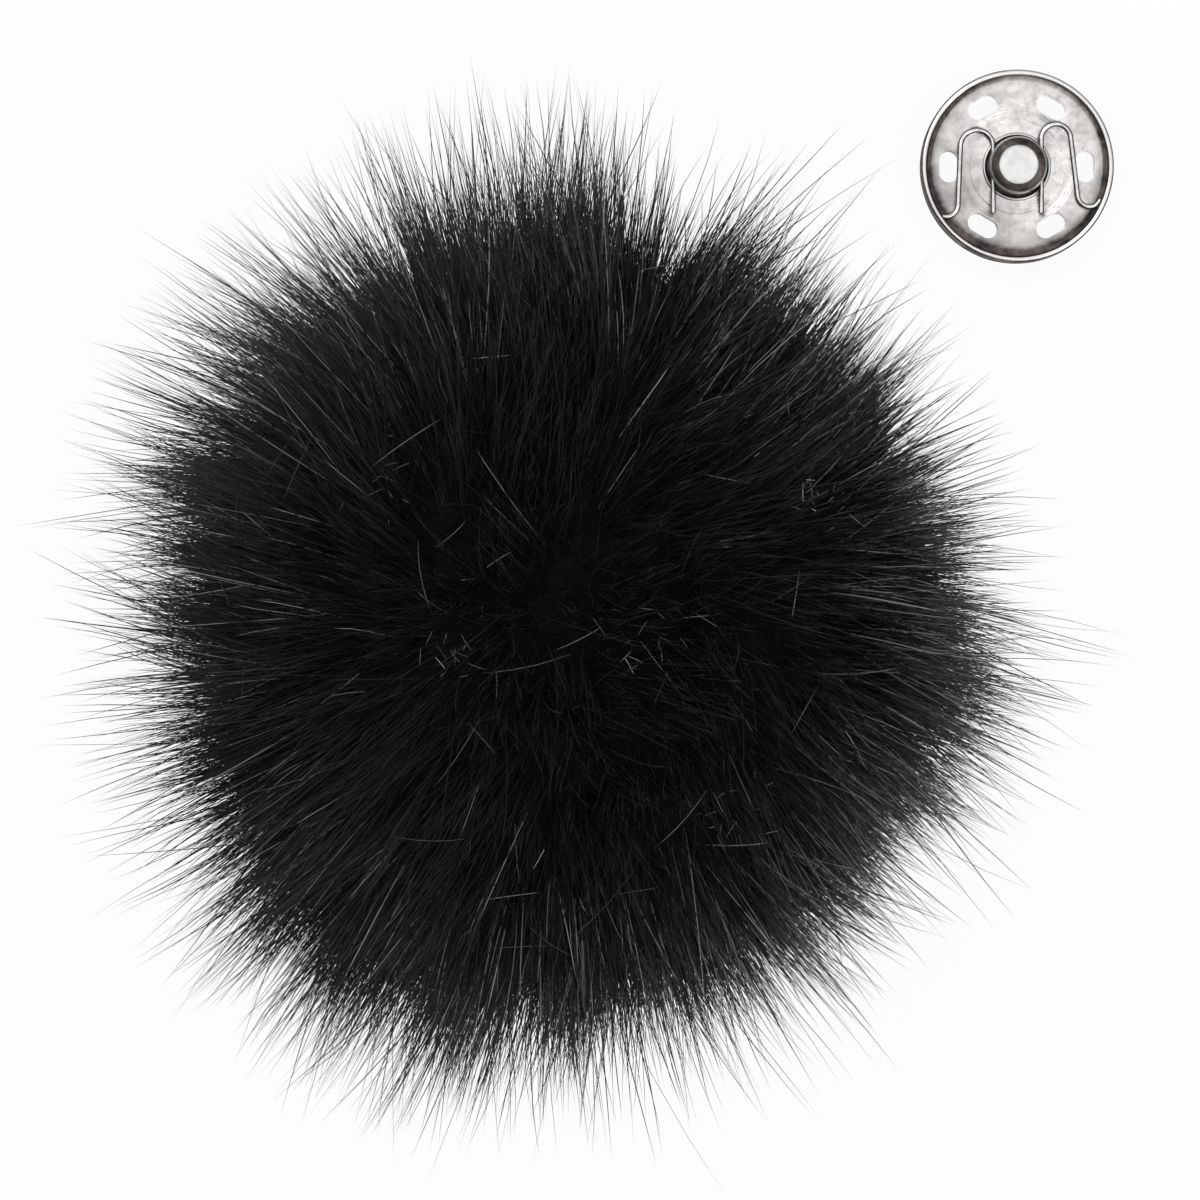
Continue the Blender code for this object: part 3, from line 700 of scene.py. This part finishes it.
def lay_pieces(name, lines, width, rng, material, node, dull=0.0):
    """Turns lines into strands, in as many pieces as their triangles need, from the top down. dull is
    each hair's chance of a dull tone: rougher, and never painted with glints."""
    steps = lines.shape[1] - 1
    tones = rng.integers(DULL_COLUMNS, TONE_COLUMNS, len(lines))
    tones = np.where(rng.random(len(lines)) < dull, rng.integers(0, DULL_COLUMNS, len(lines)), tones)
    points = strand_points(lines, width)
    per_hair = 6 * (steps - 1) + 4
    pieces = math.ceil(len(lines) * per_hair / PIECE_TRIANGLES)
    for number, part in enumerate(np.array_split(np.arange(len(lines)), pieces)):
        piece = strand_mesh(f"{name}_{number + 1:02d}", points[part], steps, tones[part])
        dress(piece, material, "pompom", node, node)


def dull_crown(places):
    """How dull the fur is at each place: on the crown its hairs are rougher and never painted with
    glints.
    """
    return np.clip((places[:, 2] - 0.60) / 0.20, 0.0, 0.97)


def open_skin(places):
    """The places on the skin that bear hair: all but the gathered base inside the parting."""
    height = BALL_CENTRE.z + places[:, 2] * SKIN_RADIUS
    reach = np.hypot(places[:, 0], places[:, 1]) * SKIN_RADIUS
    return (height > BALL_CENTRE.z) | (reach > PARTING_TOP_RADIUS + 0.2 * MM)


def hair_roots(count, rng, wander, tufts):
    """Where hairs grow, and how many they are, and how much longer the tuft of each is."""
    places = spread_directions(count, rng, wander)
    places = places[open_skin(places)]
    return places, len(places), tufts["length"][closest(places, tufts["places"])]


def make_guard_hair(tufts):
    rng = np.random.default_rng(41)
    places, count, longer = hair_roots(GUARD_HAIRS, rng, 0.010, tufts)
    short = rng.uniform(*SHORT_TIPS, count) + extra_length(places, SPARSE_SIDES) * 0.7 / MM
    long = LONG_TIPS_FROM + rng.exponential(LONG_TIPS_SPREAD, count)
    tip = np.where(rng.random(count) < SHORT_SHARE, short, np.minimum(long, LONGEST_TIP)) * MM
    tip = tip + (longer + extra_length(places) * 0.85) * (tip - 34 * MM) / (11 * MM)
    tip = np.clip(tip, 36.0 * MM, FUR_RADIUS + 5.5 * MM)
    foot = MAT_RADIUS - 3.2 * MM
    unruly = rng.random(count) < UNRULY_SHARE
    jitter = np.where(unruly, 0.32, 0.12)[:, None]
    closing = np.where(unruly, 0.35, 1.0)
    lines = grow(places, foot, tip, tufts, rng, GUARD_STEPS, jitter, 0.13, closing)
    width = GUARD_WIDTH * (0.50 + 0.75 * rng.random(count) ** 1.3)
    # Dull hairs are never painted with glints: those on the crown, and more of them towards -X, so that
    # the painted glints lie mostly towards +X.
    dull = np.maximum(dull_crown(places), 0.40 * (1.0 - places[:, 0]))
    lay_pieces("guard_hair", settle(lines), width, rng, GUARD_FUR, "guard_hair", dull)


def make_underfur(tufts):
    rng = np.random.default_rng(42)
    places, count, longer = hair_roots(UNDERFUR_HAIRS, rng, 0.008, tufts)
    tip = rng.uniform(*UNDERFUR_TIPS, count) * MM + extra_length(places) * 0.5 + longer
    tip = np.maximum(tip + extra_length(places, SPARSE_SIDES), 34.6 * MM)
    lines = grow(places, MAT_RADIUS - 1.5 * MM, tip, tufts, rng, UNDERFUR_STEPS, 0.30, 0.25, 0.5)
    width = UNDERFUR_WIDTH * rng.uniform(0.6, 1.2, count)
    lay_pieces("underfur", settle(lines), width, rng, UNDER_FUR, "underfur", dull_crown(places))


def make_stray_hair():
    """Hairs that lie across the rest, and the short ones in the glint places, all painted light as
    glints.
    """
    rng = np.random.default_rng(43)
    places = unit(rng.normal(0.0, 1.0, (STRAY_HAIRS * 4, 3)))
    places = places[places[:, 2] > -0.1][:STRAY_HAIRS]
    middles = np.repeat(np.array(GLINT_PLACES) / GLINT_CROWN, GLINTS_EACH, axis=0)
    middles = middles + rng.normal(0.0, 0.045, middles.shape)
    upward = np.sqrt(1 - np.sum(middles**2, axis=1, keepdims=True))
    places = np.concatenate([places, np.concatenate([middles, upward], axis=1)])
    count = len(places)
    heading = unit(sideways(rng.normal(0.0, 1.0, (count, 3)), places) + 0.06 * places)
    stray, broken = rng.uniform(2.5, 9.0, count), rng.uniform(0.5, 2.4, count)
    length = np.where(np.arange(count) < STRAY_HAIRS, stray, broken)[:, None, None] * MM
    share = np.linspace(0.0, 1.0, GUARD_STEPS + 1)[None, :, None]
    start = places[:, None, :] * (rng.uniform(38.5, 41.0, count)[:, None, None] * MM)
    lines = start + heading[:, None, :] * length * share
    lines = lines - places[:, None, :] * length**2 * share**2 / (95 * MM)
    swing = unit(np.cross(heading, places))[:, None, :] * rng.normal(0.0, 0.10, (count, 1, 1))
    lines = lines + swing * length * share**2
    width = STRAY_WIDTH * rng.uniform(0.7, 1.2, count)
    lay_pieces("stray_hair", settle(lines), width, rng, STRAY_GLINT_FUR, "guard_hair")


# ======== turned pieces


def arc(centre, radius, start, end, count):
    """Points on an arc between two bearings in degrees."""
    turns = [math.radians(start + (end - start) * i / count) for i in range(count + 1)]
    return [(centre[0] + radius * math.cos(t), centre[1] + radius * math.sin(t)) for t in turns]


def spun(name, section, steps, centre=(0.0, 0.0)):
    """Spins a section (radius, height) about an upright axis: a ring at its first point, then each
    next ring extruded, moved and widened. A section that returns to its start closes on itself, and
    any other is capped at both ends."""
    radius, height = section[0]
    spot = (centre[0], centre[1], height)
    bpy.ops.mesh.primitive_circle_add(vertices=steps, radius=radius, location=spot)
    thing = named(name)
    bpy.ops.object.mode_set(mode="EDIT")
    bpy.ops.mesh.select_all(action="SELECT")
    for (radius, height), (next_radius, next_height) in zip(section, section[1:]):
        move = {"value": (0.0, 0.0, next_height - height)}
        bpy.ops.mesh.extrude_region_move(TRANSFORM_OT_translate=move)
        grow_by = next_radius / radius
        middle = (centre[0], centre[1], next_height)
        bpy.ops.transform.resize(value=(grow_by, grow_by, 1.0), center_override=middle)
    bpy.ops.mesh.select_all(action="SELECT")
    if section[0] == section[-1]:
        bpy.ops.mesh.remove_doubles(threshold=0.001 * MM)
    else:
        bpy.ops.mesh.select_all(action="DESELECT")
        bpy.ops.mesh.select_non_manifold()
        bpy.ops.mesh.fill_holes(sides=0)
    bpy.ops.mesh.select_all(action="SELECT")
    bpy.ops.mesh.normals_make_consistent(inside=False)
    bpy.ops.object.mode_set(mode="OBJECT")
    bpy.ops.object.transform_apply(location=True, rotation=True, scale=True)
    return thing


def tube(name, lines, diameter, roundness, closed=False):
    """A round tube along each line, all in one mesh."""
    curve = bpy.data.curves.new(name, "CURVE")
    curve.dimensions = "3D"
    curve.bevel_depth = diameter / 2
    curve.bevel_resolution = roundness
    curve.use_fill_caps = not closed
    for line in lines:
        spline = curve.splines.new("POLY")
        spline.points.add(len(line) - 1)
        spline.use_cyclic_u = closed
        for spot, point in zip(spline.points, line):
            spot.co = (*point, 1.0)
    pick(placed(name, curve))
    bpy.ops.object.convert(target="MESH")
    return named(name)


def make_mat():
    """The dense foot of the pile, a thick shell with the hollow for the base patch."""
    floor = TABLE_Z + 1.2 * MM
    centre = (0.0, BALL_CENTRE.z)
    inside = SKIN_RADIUS + MAT_ROOM
    hollow = PARTING_TOP_RADIUS + PARTING_FLARE * 0.4
    outer_turn, inner_turn = (-math.degrees(math.acos(hollow / r)) for r in (MAT_RADIUS, inside))
    outer = [(r, max(z, floor)) for r, z in arc(centre, MAT_RADIUS, 89.0, outer_turn, 60)]
    mat = spun("underfur_mat", outer + arc(centre, inside, inner_turn, 89.0, 40), 128)
    ruffle(mat, "pile_ripple", 2.4 * MM, 1.1 * MM, 0.5)
    apply_all(mat)
    mat.data.shade_smooth()
    dress(mat, FUR_MAT, "pompom", "underfur", "underfur")


# ======== snap fastener


def soft_step(radius, half_width, low, high, count=8):
    """An S-shaped step in pressed sheet, from one height to another."""
    points = []
    for i in range(count + 1):
        share = i / count
        rise = share * share * (3 - 2 * share)
        points.append((radius - half_width + 2 * half_width * share, low + (high - low) * rise))
    return points


def slot_cutter(name):
    """Six long holes for the thread, as one hidden tool: a rod cut through its middle and drawn out
    along the circle, then copied round."""
    height = 12 * MM
    first = None
    straight = (SLOT_LENGTH - SLOT_WIDTH) / 2
    for number in range(SLOT_COUNT):
        bpy.ops.mesh.primitive_cylinder_add(vertices=32, radius=SLOT_WIDTH / 2, depth=height)
        rod = named(name)
        rod.data.transform(Matrix.Rotation(math.pi / 32, 4, "Z"))
        for point in rod.data.vertices:
            point.co.y += straight if point.co.y > 0 else -straight
        turn = Matrix.Rotation(2 * math.pi * number / SLOT_COUNT, 4, "Z")
        place = Matrix.Translation((*SNAP_CENTRE, TABLE_Z))
        rod.data.transform(place @ turn @ Matrix.Translation((SLOT_CIRCLE, 0.0, 0.0)))
        first = first or rod
        if rod != first:
            pick(first)
            rod.select_set(True)
            bpy.ops.object.join()
    return first


def cut_slots(plate):
    cutter = slot_cutter(plate.name + "_slots")
    modify(plate, "Slots", "BOOLEAN", operation="DIFFERENCE", object=cutter)
    soften_edges(plate, 0.05 * MM, 60)
    apply_all(plate)
    bpy.data.objects.remove(cutter)
    smooth_by_angle(plate, 38)


def make_stud_plate():
    """Pressed disc with a raised boss and a rolled rim that stands on the table."""
    bead = 0.55 * MM
    top = bead + SHEET
    boss = top + 0.5 * MM
    under = top - SHEET
    bead_centre = (SNAP_RADIUS - bead, bead)
    join = 180.0 - math.degrees(math.asin((top - bead) / bead))
    section = [(1.6 * MM, boss), (2.8 * MM, boss)]
    section += soft_step(4.2 * MM, 0.32 * MM, boss, top)
    section += [(6.0 * MM, top)] + arc(bead_centre, bead, join, -180.0, 22)
    section += soft_step(4.0 * MM, 0.32 * MM, boss - SHEET, under)[::-1]
    section += [(1.6 * MM, boss - SHEET), (1.6 * MM, boss)]
    section = [(r, z + TABLE_Z) for r, z in section]
    plate = spun("stud_plate_shell", section, SNAP_STEPS, SNAP_CENTRE)
    cut_slots(plate)
    dress(plate, NICKEL, "stud_half", "nickelled_steel", "stud_plate")


def make_stud():
    """The knob, riveted through the plate: flange, shank, neck, flared flank and rounded head."""
    top, low = STUD_HIGH.z, STUD_LOW.z
    head, neck, shank, flange = 3.15 * MM, 2.25 * MM, 1.5 * MM, 3.3 * MM
    crown = 0.95 * MM
    shoulder = TABLE_Z + 1.55 * MM
    flange_top = low + 0.35 * MM
    band_high = top - crown
    band_low = band_high - 0.65 * MM
    flank = band_low - 0.6 * MM
    section = [(0.3 * MM, top - 0.05 * MM), (1.2 * MM, top - 0.045 * MM), (1.8 * MM, top - 0.02 * MM)]
    section += arc((head - crown, band_high), crown, 90.0, 0.0, 14)
    section += arc((head - 0.1 * MM, band_low), 0.1 * MM, 0.0, -40.0, 3)
    section += [(neck + 0.08 * MM, flank + 0.03 * MM), (neck, flank - 0.05 * MM), (neck, shoulder)]
    section += [(shank, shoulder), (shank, flange_top), (flange, flange_top), (flange, low)]
    section += [(0.3 * MM, low)]
    knob = spun("stud_knob", section, SNAP_STEPS, SNAP_CENTRE)
    smooth_by_angle(knob, 40)
    dress(knob, KNOB_STEEL, "stud_half", "nickelled_steel", "stud")


def make_socket_plate():
    """Pressed disc with a hub, a stepped floor, and a rim turned over into a bead."""
    hub, wall = 3.3 * MM, 0.45 * MM
    bottom, lip_top = SOCKET_LOW.z, SOCKET_HIGH.z
    inner = bottom + 0.7 * MM
    floor = inner + 0.3 * MM
    outside, lip = SNAP_RADIUS, 0.35 * MM
    lip_under = lip_top - lip
    collar = 0.19 * MM
    section = [(hub, bottom)]
    section += arc((hub + wall / 2, inner + collar - wall / 2), wall / 2, 180.0, 20.0, 8)
    section += [(hub + wall + 0.12 * MM, inner + 0.03 * MM), (hub + wall + 0.3 * MM, inner)]
    ledge = inner + 0.05 * MM
    section += [(4.9 * MM, inner)] + soft_step(5.15 * MM, 0.12 * MM, inner, ledge, 4)
    section += [(5.4 * MM, ledge)] + soft_step(6.1 * MM, 0.70 * MM, ledge, floor, 12)
    section += [(8.7 * MM, floor), (9.3 * MM, floor + 0.01 * MM), (9.8 * MM, floor + 0.04 * MM)]
    foot = outside - lip
    section += arc((foot - 0.3 * MM, floor + 0.38 * MM), 0.3 * MM, -60.0, 0.0, 5)
    section += [(foot, lip_under)]
    section += arc((foot, lip_under), lip, 180.0, 0.0, 18)
    section += [(outside, floor + 0.1 * MM)]
    section += arc((outside - 0.3 * MM, floor), 0.3 * MM, 0.0, -75.0, 6)
    section += [(8.7 * MM, floor - SHEET)]
    section += soft_step(5.9 * MM, 0.42 * MM, inner - SHEET, floor - SHEET)[::-1]
    section += [(hub + wall, inner - SHEET), (hub + wall, bottom), (hub, bottom)]
    plate = spun("socket_plate_shell", section, SNAP_STEPS, SNAP_CENTRE)
    cut_slots(plate)
    dress(plate, NICKEL, "socket_half", "nickelled_steel", "socket_plate")


def spring_line(loop_radius, loop_reach, rim_bearing, hook_bearing, leg_x, hook_radius=1.3 * MM):
    """The middle line of a wire on the +X side: up the leg, round the loop, down the straight that
    touches both circles, and round the hook to the end under the lip."""
    rim = SNAP_RADIUS - 0.35 * MM - PLAY - WIRE_DIAMETER / 2
    loop = Vector((leg_x + loop_radius, loop_reach))
    turn = math.radians(rim_bearing)
    end = Vector((rim * math.cos(turn), rim * math.sin(turn)))
    turn = math.radians(hook_bearing)
    hook = end - hook_radius * Vector((math.cos(turn), math.sin(turn)))
    across = hook - loop
    leaves = math.atan2(across.y, across.x) + math.acos((loop_radius + hook_radius) / across.length)
    leaves = math.degrees(leaves)
    line = [(leg_x, -5.05 * MM), (leg_x, -2.5 * MM), (leg_x, 0.0)]
    line += arc(loop, loop_radius, 180.0, leaves, 30)
    line += arc(hook, hook_radius, 180.0 + leaves, hook_bearing, 20)
    return line


def make_springs():
    """Two S-shaped wires that grip the stud's neck, each with its end under the socket's lip."""
    leg_x = 2.25 * MM + WIRE_DIAMETER / 2 + 0.8 * PLAY
    shapes = [("left", -1, (1.78 * MM, 2.15 * MM, -34.0, 285.0))]
    shapes.append(("right", 1, (1.6 * MM, 3.0 * MM, -22.0, 335.0)))
    for side_name, side, shape in shapes:
        line = spring_line(*shape, leg_x)
        points = [(SNAP_CENTRE.x + side * x, SNAP_CENTRE.y + y, WIRE_Z) for x, y in line]
        wire = tube("spring_" + side_name + "_wire", [points], WIRE_DIAMETER, 3)
        soften_edges(wire, WIRE_DIAMETER * 0.18, 70)
        apply_all(wire)
        wire.data.shade_smooth()
        dress(wire, SPRING, None, "spring_wire", "spring_wire_" + side_name)
        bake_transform(wire)


# ======== base of the pompom


def stitch_turn(number):
    return Matrix.Rotation(2 * math.pi * (number + 0.5) / STITCH_COUNT, 4, "Z")


def make_base_patch():
    """A felt disc, proud in its middle and pressed thin at the hem, with twelve thread holes."""
    hem = PATCH_RADIUS - PATCH_HEM_WIDTH
    soft = PATCH_EDGE_ROUND
    top_corner = (PATCH_RADIUS - soft, PATCH_THICKNESS - soft)
    low_corner = (PATCH_RADIUS - soft, PATCH_HEM_SET_BACK + soft)
    section = [(0.3 * MM, PATCH_THICKNESS)]
    section += [(i * 1.25 * MM, PATCH_THICKNESS) for i in range(1, 11)]
    section += arc(top_corner, soft, 90.0, 0.0, 5) + arc(low_corner, soft, 0.0, -90.0, 5)
    section += [(hem + 0.5 * MM, PATCH_HEM_SET_BACK)]
    section += soft_step(hem - 0.05 * MM, 0.3 * MM, 0.02 * MM, PATCH_HEM_SET_BACK, 8)[::-1]
    section += [(i * 1.25 * MM, 0.02 * MM) for i in range(8, 0, -1)] + [(0.3 * MM, 0.02 * MM)]
    patch = spun("felt_patch", section, 96)
    ruffle(patch, "felt_fuzz", 0.7 * MM, 0.06 * MM, 0.8)
    depth = 4 * PATCH_THICKNESS
    for number in range(STITCH_COUNT):
        bpy.ops.mesh.primitive_cylinder_add(vertices=16, radius=STITCH_HOLE / 2, depth=depth)
        rod = named("hole_tool")
        spot = Matrix.Translation((PATCH_RADIUS - STITCH_INSET, 0.0, PATCH_THICKNESS / 2))
        rod.data.transform(stitch_turn(number) @ spot)
        modify(patch, "Hole", "BOOLEAN", operation="DIFFERENCE", object=rod)
    tools = [modifier.object for modifier in patch.modifiers if modifier.type == "BOOLEAN"]
    apply_all(patch)
    for tool in tools:
        bpy.data.objects.remove(tool)
    smooth_by_angle(patch, 50)
    dress(patch, FELT, "pompom", "felt", "base_patch")


def twisted(name, points, diameter, turns, closed=False):
    """Sewing thread: plies wound round a line, each a thin tube."""
    line = [Vector(p) for p in points]
    ply = diameter * 0.52
    reach = (diameter - ply) / 2
    plies = [[] for _ in range(THREAD_PLIES)]
    for i, point in enumerate(line):
        before = line[i - 1] if i or closed else point
        after = line[(i + 1) % len(line)] if i + 1 < len(line) or closed else point
        along = (after - before).normalized()
        first = along.cross(Vector((0.13, 0.99, 0.05))).normalized()
        if closed:
            first = Vector((0.0, 0.0, 1.0))
        second = along.cross(first)
        for number, path in enumerate(plies):
            angle = 2 * math.pi * (turns * i / len(line) + number / THREAD_PLIES)
            away = first * math.cos(angle) + second * math.sin(angle)
            path.append(point + away * reach)
    thread = tube(name, plies, ply, 1, closed)
    apply_all(thread)
    thread.data.shade_smooth()
    return thread


def make_patch_stitches():
    """One whip stitch, modelled once and copied round the patch."""
    inner = PATCH_RADIUS - STITCH_INSET
    outer = PATCH_RADIUS + STITCH_THREAD / 2 + PLAY
    top = PATCH_THICKNESS + 0.1 * MM
    bar = PATCH_HEM_SET_BACK - PLAY - STITCH_THREAD / 2
    bend = STITCH_THREAD / 2 + PLAY / 2
    route = [(inner, top), (inner, top - 0.45 * MM)]
    route += arc((inner + bend, bar + bend), bend, 180.0, 270.0, 6)
    route += arc((outer - bend, bar + bend), bend, 270.0, 360.0, 6)
    route += [(outer, top - 0.45 * MM), (outer, top)]
    stitches = [twisted("whip_stitch_01", [(r, 0.0, z) for r, z in route], STITCH_THREAD, 1.6)]
    for number in range(2, STITCH_COUNT + 1):
        stitches.append(placed(f"whip_stitch_{number:02d}", stitches[0].data.copy()))
    for number, stitch in enumerate(stitches):
        stitch.data.transform(stitch_turn(number))
        dress(stitch, THREAD, "pompom", "thread", f"patch_stitch_{number + 1:02d}")


def make_gathering():
    """The drawn thread in the skin's mouth, and its overhand knot."""
    ring = MOUTH_RADIUS - PLAY - GATHER_THREAD / 2
    height = SKIN_BASE_Z + 0.5 * MM
    circle = [(x, y, height) for x, y in arc((0.0, 0.0), ring, 0.0, 360.0 * 47 / 48, 47)]
    thread = twisted("gather_thread_ring", circle, GATHER_THREAD * 0.96, 9.0, closed=True)
    dress(thread, THREAD, "pompom", "thread", "gather_thread")
    room = MOUTH_RADIUS - GATHER_THREAD - 2 * PLAY
    middle = Vector((room - KNOT_SIZE / 2, 0.0, height))
    size = KNOT_SIZE * 0.105
    points = []
    for i in range(48):
        turn = 2 * math.pi * i / 48
        x = math.sin(turn) + 2 * math.sin(2 * turn)
        y = math.cos(turn) - 2 * math.cos(2 * turn)
        points.append(middle + Vector((x, y, -1.1 * math.sin(3 * turn))) * size)
    knot = twisted("gather_knot_turns", points, 0.42 * MM, 14.0, closed=True)
    dress(knot, THREAD, "pompom", "thread", "gather_knot")


def make_skin():
    """The knitted skin the pile grows from, drawn into pleats round its mouth."""
    inner = FILLING_RADIUS + 0.3 * MM
    base = BALL_CENTRE.z - SKIN_BASE_Z
    outer_turn = -math.degrees(math.asin(base / SKIN_RADIUS))
    inner_turn = -math.degrees(math.asin((base - 1.0 * MM) / inner))
    centre = (0.0, BALL_CENTRE.z)
    section = arc(centre, SKIN_RADIUS, 89.0, outer_turn, 60)
    section += [(r * MM, SKIN_BASE_Z) for r in (11.0, 9.0, 7.0, 5.5, 4.2, 3.5, 3.0)]
    section += [(3.0 * MM, SKIN_BASE_Z + 1.0 * MM), (6.0 * MM, SKIN_BASE_Z + 1.0 * MM)]
    section += arc(centre, inner, inner_turn, 89.0, 40)
    skin = spun("gathered_skin", section, 144)
    for point in skin.data.vertices:
        reach = math.hypot(point.co.x, point.co.y)
        if point.co.z < SKIN_BASE_Z + 0.5 * MM and reach < 12 * MM:
            bearing = math.atan2(point.co.y, point.co.x)
            point.co.z += 0.12 * MM * (1 + math.cos(18 * bearing))
    skin.data.shade_smooth()
    dress(skin, KNIT, "pompom", "knitted_backing", "fur_backing")


def make_filling():
    """A ball of loose fibre, lumpy where the skin lets it be."""
    bpy.ops.mesh.primitive_ico_sphere_add(subdivisions=6, radius=FILLING_RADIUS, location=BALL_CENTRE)
    ball = named("fibre_ball")
    apply_all(ball)
    flat = FILLING_LOW.z + 0.1 * MM
    for point in ball.data.vertices:
        point.co.z = max(point.co.z, flat)
    ruffle(ball, "fibre_lumps", 5.0 * MM, 1.2 * MM, 1.0)
    apply_all(ball)
    ball.data.shade_smooth()
    dress(ball, FIBRE, "pompom", "filling_fibre", "filling")


# ======== studio


def make_floor():
    """A plain white table. Seen directly, and in what reflects it, part of its white is its own
    light, so that it stays clean and keeps a soft shadow."""
    bpy.ops.mesh.primitive_plane_add(size=8.0, location=(0.0, 0.0, TABLE_Z - 0.02 * MM))
    floor = named("table")
    material, tree, surface = new_material("white_table", roughness=0.9, specular=0.1)
    surface.inputs["Base Color"].default_value = (0.96, 0.96, 0.96, 1.0)
    rays = add(tree, "LightPath").outputs
    seen = maths(tree, "MAXIMUM", rays["Is Camera Ray"], rays["Is Glossy Ray"])
    seen = maths(tree, "MAXIMUM", seen, rays["Is Transmission Ray"])
    share = maths(tree, "MULTIPLY", seen, BACKDROP_SHARE)
    glow = add(tree, "Emission", {"Color": (1.0, 1.0, 1.0, 1.0), "Strength": 1.0})
    mixed = add(tree, "MixShader", {0: share, 1: surface.outputs[0], 2: glow.outputs[0]})
    tree.links.new(mixed.outputs[0], tree.nodes["Material Output"].inputs["Surface"])
    floor.data.materials.append(material)


def make_world():
    """A bright ceiling that falls off to a dim horizon."""
    world = bpy.data.worlds.new("studio")
    world.use_nodes = True
    tree = world.node_tree
    up = add(tree, "SeparateXYZ", {0: add(tree, "TexCoord").outputs["Generated"]}).outputs[2]
    stops = [(0.0, (0.22,) * 3), (0.35, (0.38,) * 3), (0.75, (0.95,) * 3), (1.0, (1.08,) * 3)]
    light = ramp(tree, up, stops)
    tree.links.new(light, tree.nodes["Background"].inputs["Color"])
    bpy.context.scene.world = world


def make_lamp(name, place, size, power):
    light = bpy.data.lights.new(name, "AREA")
    light.shape = "DISK"
    light.size = size
    light.energy = power
    lamp = placed(name, light)
    lamp.location = place
    lamp.rotation_euler = (BALL_CENTRE - Vector(place)).to_track_quat("-Z", "Y").to_euler()


def make_camera():
    camera = bpy.data.cameras.new("camera")
    camera.angle = 2 * math.atan(VIEW_ACROSS_TABLE / 2 / CAMERA_ABOVE_TABLE)
    camera.clip_start = 10 * MM
    thing = placed("camera", camera)
    thing.location = (*CAMERA_OFF_AXIS, TABLE_Z + CAMERA_ABOVE_TABLE)
    bpy.context.scene.camera = thing


def make_studio():
    make_floor()
    make_world()
    make_lamp("key", (-0.42, 0.45, 0.62), 0.60, 1.3)
    make_lamp("fill", (0.46, -0.40, 0.60), 0.60, 1.0)
    make_camera()
    bpy.context.scene.view_settings.view_transform = "Standard"


# ======== making it all


def make_fur():
    rng = np.random.default_rng(40)
    tufts = make_tufts(rng)
    make_guard_hair(tufts)
    make_underfur(tufts)
    make_stray_hair()
    make_mat()


def make_snap():
    make_stud_plate()
    make_stud()
    make_socket_plate()
    make_springs()


def make_base():
    make_base_patch()
    make_patch_stitches()
    make_gathering()
    make_skin()
    make_filling()


make_fur()
make_base()
make_snap()
make_studio()
